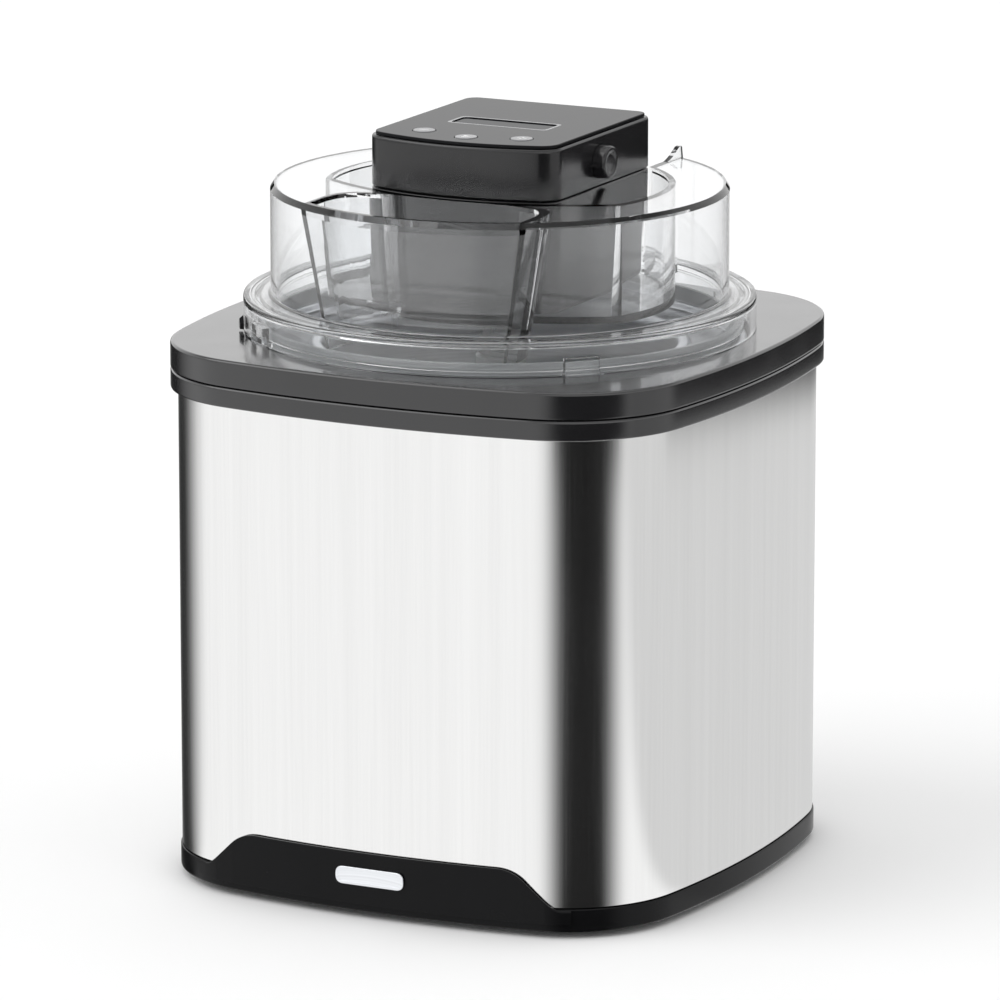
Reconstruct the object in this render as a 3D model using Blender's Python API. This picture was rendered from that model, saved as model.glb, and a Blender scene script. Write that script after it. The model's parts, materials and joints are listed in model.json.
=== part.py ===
"""Ice cream maker with a pre-frozen bowl, modelled at rest: fully assembled, standing on its feet.

Front is -Y, up is +Z, and the origin is the middle of the footprint. Every helper below takes
millimetres and writes metres.
"""

import math

import bmesh
import bpy
from mathutils import Vector

MM = 0.001
ROUND = 64  # points round the housing and the lid, closer together at the four corners
TURNED = 48  # points round the bowl
SMALL = 24  # points round screws, feet and pins

# Housing: a rounded square with slightly bulged sides.
ACROSS_FLATS = 225.0
CORNER_RADIUS = 50.0
SIDE_RADIUS = 420.0
SHEET = 1.2
FOOT_HEIGHT = 2.5
BASE_BOTTOM = 2.8
BASE_TOP = 11.9
BASE_FLOOR = 6.8
RIM_BOTTOM = 199.0
RIM_TOP = 207.0
RIM_OVERHANG = 3.0
OPENING_RADIUS = 106.5
LINER_RADIUS = 105.5
LINER_FLOOR = 63.7
FOOT_SPREAD = 70.0
SCREW_SPREAD = 48.0
PANEL_TOP = 27.0
PANEL_HALF_TOP = 59.0
PANEL_HALF_BOTTOM = 73.0
PANEL_PROUD = 1.6

# Locking ring, which lies on the housing rim.
RING_BOTTOM = 207.3
RING_TOP = 218.0
RING_OPENING = 100.8
SKIRT_RADIUS = 102.5
SKIRT_BOTTOM = 189.5
NOTCH_WIDTH = 18.0

# Freezer bowl.
BOWL_BOTTOM = 67.0
BOWL_FLOOR = 96.0
BOWL_RIM = 216.0
BOWL_RIM_RADIUS = 99.0
BOWL_MOUTH = 71.0

# Paddle and drive shaft.
PADDLE_BOTTOM = 98.7
PADDLE_TOP = 189.0
PADDLE_HALF = 67.0
HUB_RADIUS = 8.4
HUB_TOP = 200.5
HUB_BOTTOM = 158.0
SHAFT_BOTTOM = 176.5
COLLAR_BOTTOM = 201.2
COLLAR_TOP = 208.0
SHAFT_TOP = 246.0

# Lid.
LID_BOTTOM = 218.3
LID_FLOOR = 231.8
LID_TOP = 276.3
FLANGE_RADIUS = 102.5
DRUM_RADIUS = 91.5
LID_WALL = 2.4
POCKET_RADIUS = 67.5
REAR_GAP_HALF = 40.0
CHUTE_TOP_ANGLE = math.radians(32.0)
CHUTE_FOOT_ANGLE = math.radians(26.6)
CHUTE_FOOT_RADIUS = 80.0

# Motor unit.
UNIT_BOTTOM = 232.1
UNIT_SEAM = 276.8
UNIT_TOP = 297.5
UNIT_HALF = 41.5
UNIT_FRONT = -35.0
UNIT_BULGE = 8.0
UNIT_BACK = 55.0
UNIT_CORNER = 6.5
UNIT_WALL = 2.2
GLAND_HEIGHT = 243.0
PANEL_THICK = 1.1
KEY_PLACES = {"key_less": (-21.5, -24.0), "key_start": (0.0, -30.0), "key_more": (21.5, -24.0)}
DISPLAY_CENTRE = (0.0, 4.0)
DISPLAY_HALF = (22.0, 7.5)
BOARD_TOP = 294.0
BOARD_POSTS = [(-27.0, -12.0), (27.0, -12.0), (-27.0, 3.0), (27.0, 3.0)]
RELEASE_Y = 5.0
RELEASE_Z = 286.8
RELEASE_RADIUS = 6.6
TONGUE_HALF = 24.5
TONGUE_DROP = 5.5
TONGUE_BACK = -27.0
SCREW_PLACES = [(-34.0, -19.0), (34.0, -19.0), (-34.0, 43.0), (34.0, 43.0)]

# Gear train: output spindle on the machine's axis, one compound gear, then the motor pinion.
MODULE = 1.5
GEAR_POINTS = 72
SPINDLE_TEETH = 18
COMPOUND_SMALL = 9
COMPOUND_LARGE = 18
PINION_TEETH = 8
COMPOUND_ANGLE = math.radians(55.0)
MOTOR_ANGLE = math.radians(165.0)
LOW_GEAR = (253.0, 258.0)
HIGH_GEAR = (260.0, 264.0)
PLATE = (267.0, 269.0)
PLATE_CENTRE = (3.0, 17.0)
PLATE_HALF = (26.0, 21.0)
PLATE_POST_INSET = 4.0
MOTOR_CAN_RADIUS = 13.0


def polar(radius, angle, centre=(0.0, 0.0)):
    return centre[0] + radius * math.cos(angle), centre[1] + radius * math.sin(angle)


COMPOUND_AXIS = polar(MODULE * (SPINDLE_TEETH + COMPOUND_SMALL) / 2, COMPOUND_ANGLE)
MOTOR_AXIS = polar(MODULE * (COMPOUND_LARGE + PINION_TEETH) / 2, MOTOR_ANGLE, COMPOUND_AXIS)


# Materials


def material(name, colour, roughness, metallic=0.0, alpha=1.0, transmission=0.0):
    mat = bpy.data.materials.new(name)
    mat.use_nodes = True
    shader = mat.node_tree.nodes["Principled BSDF"]
    shader.inputs["Base Color"].default_value = (*colour, 1.0)
    shader.inputs["Roughness"].default_value = roughness
    shader.inputs["Metallic"].default_value = metallic
    shader.inputs["Alpha"].default_value = alpha
    shader.inputs["Transmission Weight"].default_value = transmission
    return mat


PAINTS = {
    "steel_sheet": ((0.62, 0.62, 0.61), 0.32, 1.0),
    "black_plastic": ((0.018, 0.018, 0.020), 0.45),
    "gloss_black": ((0.020, 0.020, 0.022), 0.12),
    "dark_liner": ((0.012, 0.012, 0.014), 0.6),
    "white_plastic": ((0.82, 0.82, 0.80), 0.28),
    "cream_plastic": ((0.78, 0.78, 0.75), 0.4),
    "aluminium": ((0.66, 0.68, 0.70), 0.34, 1.0),
    "rubber": ((0.02, 0.02, 0.02), 0.85),
    "silicone": ((0.75, 0.77, 0.78), 0.5),
    "gel": ((0.35, 0.55, 0.75), 0.4),
    "clear": ((0.93, 0.95, 0.96), 0.06, 0.0, 0.35, 0.9),
    "lens": ((0.05, 0.06, 0.07), 0.08),
    "zinc": ((0.55, 0.55, 0.54), 0.35, 1.0),
    "brass": ((0.72, 0.55, 0.25), 0.3, 1.0),
    "board": ((0.03, 0.18, 0.08), 0.5),
    "acetal": ((0.70, 0.70, 0.66), 0.45),
    "key_grey": ((0.30, 0.30, 0.31), 0.35),
}


def paint(obj, name):
    """Give the object its own copy of one of the paints above."""
    obj.data.materials.append(material(f"{obj.name}_{name}", *PAINTS[name]))
    return obj


# Outlines: each returns one closed loop of (x, y, z) in millimetres, anticlockwise from above.


def turn(count, phase=0.0):
    """Angles round a full turn. At the housing's own count they crowd towards the diagonals."""
    crowd = 0.35 / 4 if count == ROUND else 0.0
    even = [2 * math.pi * step / count for step in range(count)]
    return [phase + angle + crowd * math.sin(4 * angle) for angle in even]


def circle(radius, height, count=ROUND, centre=(0.0, 0.0), phase=0.0):
    return [(*polar(radius, angle, centre), height) for angle in turn(count, phase)]


def ribbed(radius, height, ribs=16, depth=1.5, count=ROUND):
    """A circle with narrow ribs that stand inward."""
    every = count // ribs
    radii = [radius - (depth if step % every == every // 2 else 0.0) for step in range(count)]
    return [(*polar(r, a), height) for r, a in zip(radii, turn(count))]


def lobed(radius, depth, height, lobes, count):
    """A splined or hexagonal section, corners at radius and flats depth below it."""
    loop = []
    for angle in turn(count):
        inward = abs(math.sin(angle * lobes / 2))
        loop.append((*polar(radius - depth * inward, angle), height))
    return loop


def side_geometry():
    """Half the sweep of one side's arc, and the offset of the corner arc's centre on both axes."""
    half = ACROSS_FLATS / 2
    sweep = math.acos((SIDE_RADIUS - half) / (SIDE_RADIUS - CORNER_RADIUS) / math.sqrt(2)) - math.pi / 4
    return sweep, (SIDE_RADIUS - CORNER_RADIUS) * math.sin(sweep)


def square_radius(angle, offset):
    """Distance from the axis to the housing's outline, moved outward by offset, at this angle."""
    sweep, corner = side_geometry()
    half = ACROSS_FLATS / 2
    fold = abs((angle + math.pi / 4) % (math.pi / 2) - math.pi / 4)
    side = SIDE_RADIUS + offset
    back = SIDE_RADIUS - half
    limit = math.atan2(side * math.sin(sweep), side * math.cos(sweep) - back)
    if fold <= limit:
        return math.sqrt(side**2 - (back * math.sin(fold)) ** 2) - back * math.cos(fold)
    reach = corner * (math.cos(fold) - math.sin(fold))
    return corner * (math.cos(fold) + math.sin(fold)) + math.sqrt((CORNER_RADIUS + offset) ** 2 - reach**2)


def square(offset, height):
    return [(*polar(square_radius(a, offset), a), height) for a in turn(ROUND)]


def gear(teeth, height, phase, centre, per_tooth=4):
    """A spur gear's outline. Teeth are narrow, so that a meshing pair keeps running clearance."""
    pitch = 2 * math.pi / teeth
    radius = MODULE * teeth / 2
    tip = radius + 0.8 * MODULE
    root = radius - 1.0 * MODULE
    tooth = [(-0.27, root), (-0.10, tip), (0.10, tip), (0.27, root)]
    space = [(0.27 + 0.46 * step / (per_tooth - 3), root) for step in range(1, per_tooth - 3)]
    loop = []
    for number in range(teeth):
        start = phase + number * pitch
        loop += [(*polar(r, start + share * pitch, centre), height) for share, r in tooth + space]
    return loop


def unit_outline(inset, height):
    """The motor unit's plan: flat back and sides, and a front that bulges."""
    half = UNIT_HALF - inset
    front = UNIT_FRONT + inset
    back = UNIT_BACK - inset
    radius = max(UNIT_CORNER - inset, 1.5)
    corners = [
        ((half - radius, back - radius), 0),
        ((-half + radius, back - radius), 90),
        ((-half + radius, front + radius), 180),
        ((half - radius, front + radius), 270),
    ]
    loop = []
    for centre, first in corners:
        loop += [polar(radius, math.radians(first + step * 22.5), centre) for step in range(5)]
        if first == 180:
            reach = half - radius
            loop += [(reach * (step / 4 - 1), front) for step in range(1, 8)]
    middle = (front + back) / 2
    bulged = []
    for x, y in loop:
        if y < middle - 10:
            y -= UNIT_BULGE * (1 - (x / half) ** 2)
        bulged.append((x, y, height))
    return bulged


def tongue_outline(grow, height):
    """The tongue under the motor unit's front, which follows the bulge of the front face."""
    half = TONGUE_HALF + grow
    back = TONGUE_BACK + grow
    front = UNIT_FRONT + 2.3 - grow
    loop = [(half, back, height), (-half, back, height)]
    for step in range(9):
        x = half * (step / 4 - 1)
        loop.append((x, front - UNIT_BULGE * (1 - (x / UNIT_HALF) ** 2), height))
    return loop


def rounded_box(half_x, half_y, radius, height, centre=(0.0, 0.0), steps=4):
    loop = []
    places = [(1, 1, 0), (-1, 1, 90), (-1, -1, 180), (1, -1, 270)]
    for side_x, side_y, first in places:
        middle = (centre[0] + side_x * (half_x - radius), centre[1] + side_y * (half_y - radius))
        for step in range(steps + 1):
            angle = math.radians(first + 90 * step / steps)
            loop.append((*polar(radius, angle, middle), height))
    return loop


# Solids


def solid(name, points, faces):
    mesh = bpy.data.meshes.new(name)
    mesh.from_pydata([Vector(p) * MM for p in points], [], faces)
    work = bmesh.new()
    work.from_mesh(mesh)
    bmesh.ops.recalc_face_normals(work, faces=work.faces)
    work.to_mesh(mesh)
    work.free()
    obj = bpy.data.objects.new(name, mesh)
    bpy.context.scene.collection.objects.link(obj)
    return obj


def skin(name, loops, closed=False, facets=False):
    """Join a run of loops. An open run is capped at both ends; a closed one makes a ring. Facets
    splits each four-sided face that isn't flat into two triangles, which a Boolean needs."""
    count = len(loops[0])
    points = [point for loop in loops for point in loop]
    faces = []
    pairs = len(loops) if closed else len(loops) - 1
    for row in range(pairs):
        this = row * count
        after = (row + 1) % len(loops) * count
        for step in range(count):
            beside = (step + 1) % count
            side = (this + step, this + beside, after + beside, after + step)
            faces += [side[:3], (side[0], side[2], side[3])] if facets else [side]
    if not closed:
        faces.append(tuple(range(count))[::-1])
        faces.append(tuple(range(len(points) - count, len(points))))
    return solid(name, points, faces)


def turned(name, profile, count=SMALL, centre=(0.0, 0.0), closed=False):
    """A solid of revolution from (radius, height) pairs."""
    return skin(name, [circle(r, z, count, centre) for r, z in profile], closed)


def box(name, low, high):
    loops = [
        [(low[0], low[1], z), (high[0], low[1], z), (high[0], high[1], z), (low[0], high[1], z)]
        for z in (low[2], high[2])
    ]
    return skin(name, loops)


def rod(name, start, end, radius, count=SMALL):
    """A round bar between two points, in any direction."""
    start, end = Vector(start), Vector(end)
    spin = (end - start).to_track_quat("Z", "Y")
    loops = []
    for place in (start, end):
        loops.append([place + spin @ Vector((*polar(radius, a), 0.0)) for a in turn(count)])
    return skin(name, loops)


def merged(name, objects):
    """Put several separate solids in one mesh, for use as one cutter."""
    work = bmesh.new()
    for obj in objects:
        work.from_mesh(obj.data)
        bpy.data.objects.remove(obj)
    mesh = bpy.data.meshes.new(name)
    work.to_mesh(mesh)
    work.free()
    obj = bpy.data.objects.new(name, mesh)
    bpy.context.scene.collection.objects.link(obj)
    return obj


def combine(obj, tool, operation):
    tool.hide_render = True
    tool.display_type = "WIRE"
    step = obj.modifiers.new(f"{operation.lower()}_{tool.name}", "BOOLEAN")
    step.operation = operation
    step.solver = "EXACT"
    step.object = tool
    return obj


def cut(obj, *tools):
    for tool in tools:
        combine(obj, tool, "DIFFERENCE")
    return obj


def join(obj, *tools):
    for tool in tools:
        combine(obj, tool, "UNION")
    return obj


def around(name, angles, low, high):
    """Copies of one box, given at angle zero along +X, turned about the axis to each angle."""
    copies = []
    for number, angle in enumerate(angles):
        piece = box(f"{name}_{number}", low, high)
        for vertex in piece.data.vertices:
            x, y, z = vertex.co
            spin_x = x * math.cos(angle) - y * math.sin(angle)
            spin_y = x * math.sin(angle) + y * math.cos(angle)
            vertex.co = (spin_x, spin_y, z)
        copies.append(piece)
    return merged(name, copies)


DIAGONALS = [math.radians(45 + 90 * quarter) for quarter in range(4)]
QUARTERS = {"front_left": (-1, -1), "front_right": (1, -1), "rear_left": (-1, 1), "rear_right": (1, 1)}


# Housing


def housing():
    sleeve = skin(
        "housing_sleeve",
        [
            square(0, BASE_TOP + 0.4),
            square(0, RIM_BOTTOM - 0.3),
            square(-SHEET, RIM_BOTTOM - 0.3),
            square(-SHEET, BASE_TOP + 0.4),
        ],
        closed=True,
    )
    paint(sleeve, "steel_sheet")

    rim = skin(
        "housing_rim",
        [
            square(RIM_OVERHANG - 0.8, RIM_BOTTOM),
            square(RIM_OVERHANG, RIM_BOTTOM + 0.8),
            square(RIM_OVERHANG, RIM_TOP - 1.0),
            square(RIM_OVERHANG - 1.0, RIM_TOP),
            circle(OPENING_RADIUS + 0.8, RIM_TOP),
            circle(OPENING_RADIUS, RIM_TOP - 0.8),
            circle(OPENING_RADIUS, RIM_BOTTOM - 4.0),
            circle(OPENING_RADIUS + 2.2, RIM_BOTTOM - 4.0),
            circle(OPENING_RADIUS + 2.2, RIM_BOTTOM),
        ],
        closed=True,
    )
    half = NOTCH_WIDTH / 2
    low = (OPENING_RADIUS - 4, -half, RIM_TOP - 4)
    high = (OPENING_RADIUS + 3, half, RIM_TOP + 2)
    cut(rim, around("rim_notches", DIAGONALS, low, high))
    paint(rim, "black_plastic")

    liner = skin(
        "housing_liner",
        [
            circle(LINER_RADIUS - 3, LINER_FLOOR - 2.2),
            circle(LINER_RADIUS + 2, LINER_FLOOR + 3),
            circle(LINER_RADIUS + 2, RIM_BOTTOM - 6.5),
            circle(LINER_RADIUS + 3.5, RIM_BOTTOM - 6.5),
            circle(LINER_RADIUS + 3.5, RIM_BOTTOM - 4.3),
            ribbed(LINER_RADIUS, RIM_BOTTOM - 4.3),
            ribbed(LINER_RADIUS, LINER_FLOOR + 4.5),
            circle(LINER_RADIUS - 4.5, LINER_FLOOR),
        ],
    )
    posts = []
    bores = []
    for name, (side_x, side_y) in QUARTERS.items():
        place = (side_x * SCREW_SPREAD, side_y * SCREW_SPREAD)
        profile = [(4.5, BASE_FLOOR + 0.3), (6.0, LINER_FLOOR - 1.0)]
        posts.append(turned(f"post_{name}", profile, 12, place))
        bores.append(turned(f"bore_{name}", [(1.7, 0.0), (1.7, 24.0)], 10, place))
    join(liner, merged("liner_posts", posts))
    cut(liner, merged("liner_bores", bores))
    paint(liner, "dark_liner")

    pad = turned("bowl_pad", [(60, 64.0), (80, 64.0), (80, 66.7), (60, 66.7)], 36, closed=True)
    paint(pad, "rubber")


def front_panel():
    """The raised trapezoid across the front: a curved plate that stands off the sleeve."""
    rows = (
        (BASE_BOTTOM + 3, PANEL_HALF_BOTTOM, -0.5),
        (BASE_TOP - 0.4, PANEL_HALF_BOTTOM, -0.5),
        (BASE_TOP - 0.2, PANEL_HALF_BOTTOM, 0.8),
        (PANEL_TOP - 1.2, PANEL_HALF_TOP + 1.2, 0.8),
        (PANEL_TOP, PANEL_HALF_TOP - 1.0, 0.8),
    )
    steps = 12
    loops = []
    for height, half, back_offset in rows:
        angles = [-math.pi / 2 + math.asin(half / 125) * (2 * step / steps - 1) for step in range(steps + 1)]
        back = [(*polar(square_radius(a, back_offset), a), height) for a in angles]
        face = [(*polar(square_radius(a, PANEL_PROUD), a), height) for a in angles]
        loops.append(face + back[::-1])
    return skin("front_panel_blank", loops)


def base():
    tray = skin(
        "base_tray",
        [
            square(-0.4, BASE_BOTTOM),
            square(0.6, BASE_BOTTOM + 1.0),
            square(0.6, BASE_TOP),
            square(-SHEET - 0.4, BASE_TOP),
            square(-SHEET - 0.4, BASE_TOP + 5),
            square(-SHEET - 2.6, BASE_TOP + 5),
            square(-SHEET - 2.6, BASE_FLOOR),
        ],
    )
    join(tray, front_panel())
    holes = []
    for name, (side_x, side_y) in QUARTERS.items():
        place = (side_x * SCREW_SPREAD, side_y * SCREW_SPREAD)
        holes.append(turned(f"hole_{name}", [(4.1, 1.0), (4.1, 5.0), (1.9, 5.0), (1.9, 9.0)], 12, place))
        screw = turned(
            f"base_screw_{name}",
            [(3.2, 3.1), (3.6, 3.6), (3.6, 4.7), (1.5, 4.7), (1.5, 19.0)],
            10,
            place,
        )
        paint(screw, "zinc")
        spot = (side_x * FOOT_SPREAD, side_y * FOOT_SPREAD)
        foot = turned(f"foot_{name}", [(8.0, 0.0), (9.0, 1.0), (9.0, FOOT_HEIGHT)], SMALL, spot)
        paint(foot, "rubber")
    cut(tray, merged("tray_holes", holes))
    paint(tray, "black_plastic")

    front = -ACROSS_FLATS / 2 - PANEL_PROUD - 0.3
    loops = []
    for depth in (front, front - 0.8):
        loops.append([(x, depth, z + 17.5) for x, z, _ in rounded_box(15.0, 3.6, 3.5, 0.0)])
    paint(skin("badge_plate", loops), "aluminium")


def locking_ring():
    ring = skin(
        "locking_ring",
        [
            square(RIM_OVERHANG - 0.7, RING_BOTTOM),
            square(RIM_OVERHANG, RING_BOTTOM + 0.7),
            square(RIM_OVERHANG, RING_TOP - 1.1),
            square(RIM_OVERHANG - 1.1, RING_TOP),
            circle(RING_OPENING + 0.9, RING_TOP),
            circle(RING_OPENING, RING_TOP - 0.9),
            circle(RING_OPENING, SKIRT_BOTTOM),
            circle(SKIRT_RADIUS, SKIRT_BOTTOM),
            circle(SKIRT_RADIUS, RING_BOTTOM),
        ],
        closed=True,
    )
    half = NOTCH_WIDTH / 2
    low = (RING_OPENING - 4, -half, RING_TOP - 3.5)
    high = (RING_OPENING + 3.2, half, RING_TOP + 2)
    notches = around("ring_notches", DIAGONALS, low, high)
    seams = [math.radians(angle) for angle in (-90, -35, 35, 90, 145, 215)]
    low = (SKIRT_RADIUS - 5, -0.6, SKIRT_BOTTOM - 2)
    high = (SKIRT_RADIUS + 3, 0.6, RING_BOTTOM - 2)
    slits = around("skirt_slits", seams, low, high)
    low = (SKIRT_RADIUS - 5, -3.0, SKIRT_BOTTOM + 6)
    high = (SKIRT_RADIUS + 3, 3.0, RING_BOTTOM - 2.5)
    windows = around("skirt_windows", [0.0, math.pi], low, high)
    cut(ring, notches, slits, windows)
    paint(ring, "black_plastic")


# Bowl


def bowl():
    outside = [(60, 1.5), (62, 0.0), (80, 0.0), (87, 2.8), (90.2, 11.0), (95, BOWL_RIM - BOWL_BOTTOM - 6.6)]
    inside = [(93, BOWL_RIM - BOWL_BOTTOM - 6.6), (88.2, 11.6), (85.6, 4.8), (79, 3.0)]
    profile = [(radius, BOWL_BOTTOM + above) for radius, above in outside + inside]
    shell = turned("bowl_shell", profile, TURNED)
    cut(shell, turned("filler_hole", [(5.3, 60.0), (5.3, 80.0)], 20))
    paint(shell, "white_plastic")

    inner = [
        (56, 94.4), (65, 97.0), (70.4, 104.0), (72.6, 206), (74.4, 210.4), (97.4, 210.2),
        (BOWL_RIM_RADIUS, 211.6), (BOWL_RIM_RADIUS, 214.6), (97.6, BOWL_RIM), (95.9, BOWL_RIM),
        (94.7, 214.6),
        (94.4, 212.0), (75.9, 212.0), (74.4, 213.6), (72.4, 213.6), (BOWL_MOUTH, 212.0), (68.8, 105),
        (64.0, 98.6), (56, BOWL_FLOOR),
    ]
    paint(turned("bowl_inner", inner, TURNED), "aluminium")

    gel = [(80, 74), (86.2, 80), (92.0, 200), (73.4, 200), (71.2, 103), (65.4, 95.8), (56, 93.8)]
    paint(turned("cooling_gel", gel, 36), "gel")

    plug = turned("filler_plug", [(6.5, 67.4), (7.0, 67.8), (7.0, 68.2), (5.0, 68.2), (5.0, 72.5)], 20)
    paint(plug, "rubber")


# Paddle and shaft


def flat_plate(name, outline, low, high):
    """A plate in the XZ plane, between two Y values."""
    return skin(name, [[(x, y, z) for x, z in outline] for y in (low, high)])


def arch_blade():
    """The inner scoop: leaves the left bar lying flat and turns on edge as it drops to the middle."""
    loops = []
    steps = 8
    for step in range(steps + 1):
        share = step / steps
        angle = math.pi / 2 * share
        x = -58.0 + 45.0 * math.sin(angle)
        z = 154.0 - 48.0 * (1 - math.cos(angle))
        turned_in = math.sin(angle)
        across = Vector((turned_in**2, 1.0 - 0.55 * turned_in, 0.25 * math.cos(angle)))
        across.normalize()
        along = Vector((math.cos(angle), 0.0, -math.sin(angle)))
        thick = along.cross(across)
        thick.normalize()
        wide = across * (6.5 + 5.5 * share)
        thin = thick * 2.0
        middle = Vector((x, 0.0, z))
        corners = [wide + thin, thin - wide, -wide - thin, wide - thin]
        loops.append([middle + corner for corner in corners])
    return skin("arch_blade", loops)


def paddle():
    left = -PADDLE_HALF
    right = PADDLE_HALF
    frame = [
        (left + 5.5, PADDLE_TOP - 9), (left + 5.5, 115.0), (left, 111.0),
        (left, 109.0), (left + 5, 105.6), (-8.0, PADDLE_BOTTOM), (right - 10, PADDLE_BOTTOM),
        (right - 3, PADDLE_BOTTOM + 3), (right, PADDLE_BOTTOM + 10), (right, PADDLE_TOP - 2),
        (right - 2, PADDLE_TOP), (left + 2, PADDLE_TOP), (left, PADDLE_TOP - 2), (left, PADDLE_TOP - 6),
    ]
    body = flat_plate("paddle", frame, -4.5, 4.5)
    window = [
        (left + 22, 113.0), (left + 24, 111.2), (-8.0, 106.0), (4.0, 108.0), (6.0, 114.0),
        (right - 14, 114.0), (right - 10, 118.0), (right - 10, PADDLE_TOP - 6.5),
        (left + 22, PADDLE_TOP - 6.5),
    ]
    section = [(-7.0, PADDLE_BOTTOM + 0.4), (-3.5, PADDLE_BOTTOM + 0.4), (2.0, 115.5), (-1.5, 115.5)]
    blade = skin("lower_blade", [[(x, y, z) for y, z in section] for x in (3.0, PADDLE_HALF - 6.0)])
    hub = turned(
        "paddle_hub",
        [(7.0, HUB_BOTTOM), (HUB_RADIUS, HUB_BOTTOM + 3), (HUB_RADIUS, HUB_TOP - 1), (7.6, HUB_TOP)],
    )
    boss = turned("pivot_boss", [(6.0, PADDLE_BOTTOM), (6.0, 110.0)], 20)
    nib = box("under_nib", (-24, -3, 96.9), (-18, 3, 104))
    cut(body, flat_plate("paddle_window", window, -9.0, 9.0))
    join(body, blade, hub, boss, arch_blade(), nib)
    bore = skin("hub_bore", [lobed(5.6, 0.75, z, 6, SMALL) for z in (SHAFT_BOTTOM - 1.0, HUB_TOP + 3)])
    socket = turned("pivot_socket", [(3.3, PADDLE_BOTTOM - 3), (3.3, 106.0)], 16)
    holes = []
    for height, first, count in ((104.0, 14.0, 5), (110.5, 18.5, 4)):
        for x in [first + 9.0 * step for step in range(count)]:
            holes.append(rod(f"drain_{x}_{height}", (x, -15, height), (x, 15, height), 1.5, 8))
    cut(body, bore, socket, merged("drain_holes", holes))
    paint(body, "cream_plastic")

    glide = turned("paddle_glide", [(6.0, 96.4), (6.6, 97.0), (6.6, 98.3), (3.0, 98.3), (3.0, 104.5)], 20)
    paint(glide, "acetal")


def shaft():
    loops = [
        lobed(4.7, 0.6, SHAFT_BOTTOM, 6, SMALL),
        lobed(5.3, 0.7, SHAFT_BOTTOM + 1, 6, SMALL),
        lobed(5.3, 0.7, HUB_TOP + 0.3, 6, SMALL),
        circle(5.7, HUB_TOP + 0.4, SMALL),
        circle(5.7, COLLAR_TOP + 0.3, SMALL),
        circle(8.2, COLLAR_TOP + 0.4, SMALL),
        circle(7.6, COLLAR_TOP + 4, SMALL),
        circle(6.1, COLLAR_TOP + 10, SMALL),
        circle(5.5, COLLAR_TOP + 18, SMALL),
        circle(5.2, SHAFT_TOP - 10, SMALL),
        lobed(4.7, 0.7, SHAFT_TOP - 9.5, 8, SMALL),
        lobed(4.7, 0.7, SHAFT_TOP - 0.8, 8, SMALL),
        lobed(4.1, 0.6, SHAFT_TOP, 8, SMALL),
    ]
    paint(skin("drive_shaft", loops), "white_plastic")

    collar = turned(
        "shaft_bush",
        [(6.0, COLLAR_BOTTOM), (9.8, COLLAR_BOTTOM), (10.3, COLLAR_BOTTOM + 0.8), (10.3, COLLAR_TOP - 0.8),
         (9.8, COLLAR_TOP), (6.0, COLLAR_TOP)],
        32,
        closed=True,
    )
    arms = []
    for side in (-1, 1):
        arm = [(8.9, 1.0), (10.1, 1.0), (10.4, -7.2), (9.6, -10.7), (8.9, -9.7), (8.9, -7.2)]
        outline = [(side * x, COLLAR_BOTTOM + above) for x, above in arm]
        arms.append(flat_plate(f"arm_{side}", outline, -3.2, 3.2))
    join(collar, merged("bush_arms", arms))
    paint(collar, "white_plastic")


# Lid


def pocket_outline(radius, front, height):
    """The motor unit's pocket: round, with a front wall that follows the unit's bulged front."""
    sag = UNIT_BULGE
    arc = (UNIT_HALF**2 + sag**2) / (2 * sag)
    middle = front + arc
    meet = (arc**2 - middle**2 - radius**2) / (-2 * middle)
    corner = math.atan2(meet, math.sqrt(radius**2 - meet**2))
    loop = []
    steps = 32
    for step in range(steps + 1):
        angle = corner + (math.pi - 2 * corner) * step / steps
        loop.append((*polar(radius, angle), height))
    reach = math.sqrt(radius**2 - meet**2)
    for step in range(1, 12):
        x = -reach + 2 * reach * step / 12
        loop.append((x, middle - math.sqrt(arc**2 - x**2), height))
    return loop


def chute_outline(half_angle, grow, front_radius, back, height):
    """The filling chute's plan: an arc under the drum's wall, and a back edge along the pocket."""
    angle = half_angle + grow / DRUM_RADIUS
    front = []
    for step in range(9):
        at = -math.pi / 2 - angle + 2 * angle * step / 8
        front.append((*polar(front_radius, at), height))
    side = front_radius * math.sin(angle)
    inner = side - 2.0
    corner = [(side, back - 16), (side - 1.5, back - 7), (inner - 5, back - 1.5)]
    behind = []
    for step in range(1, 8):
        x = (inner - 10) * (1 - step / 4)
        behind.append((x, back + UNIT_BULGE * (x / UNIT_HALF) ** 2 * 0.5))
    far_corner = [(-x, y) for x, y in corner[::-1]]
    return front + [(x, y, height) for x, y in corner + behind + far_corner]


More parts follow.
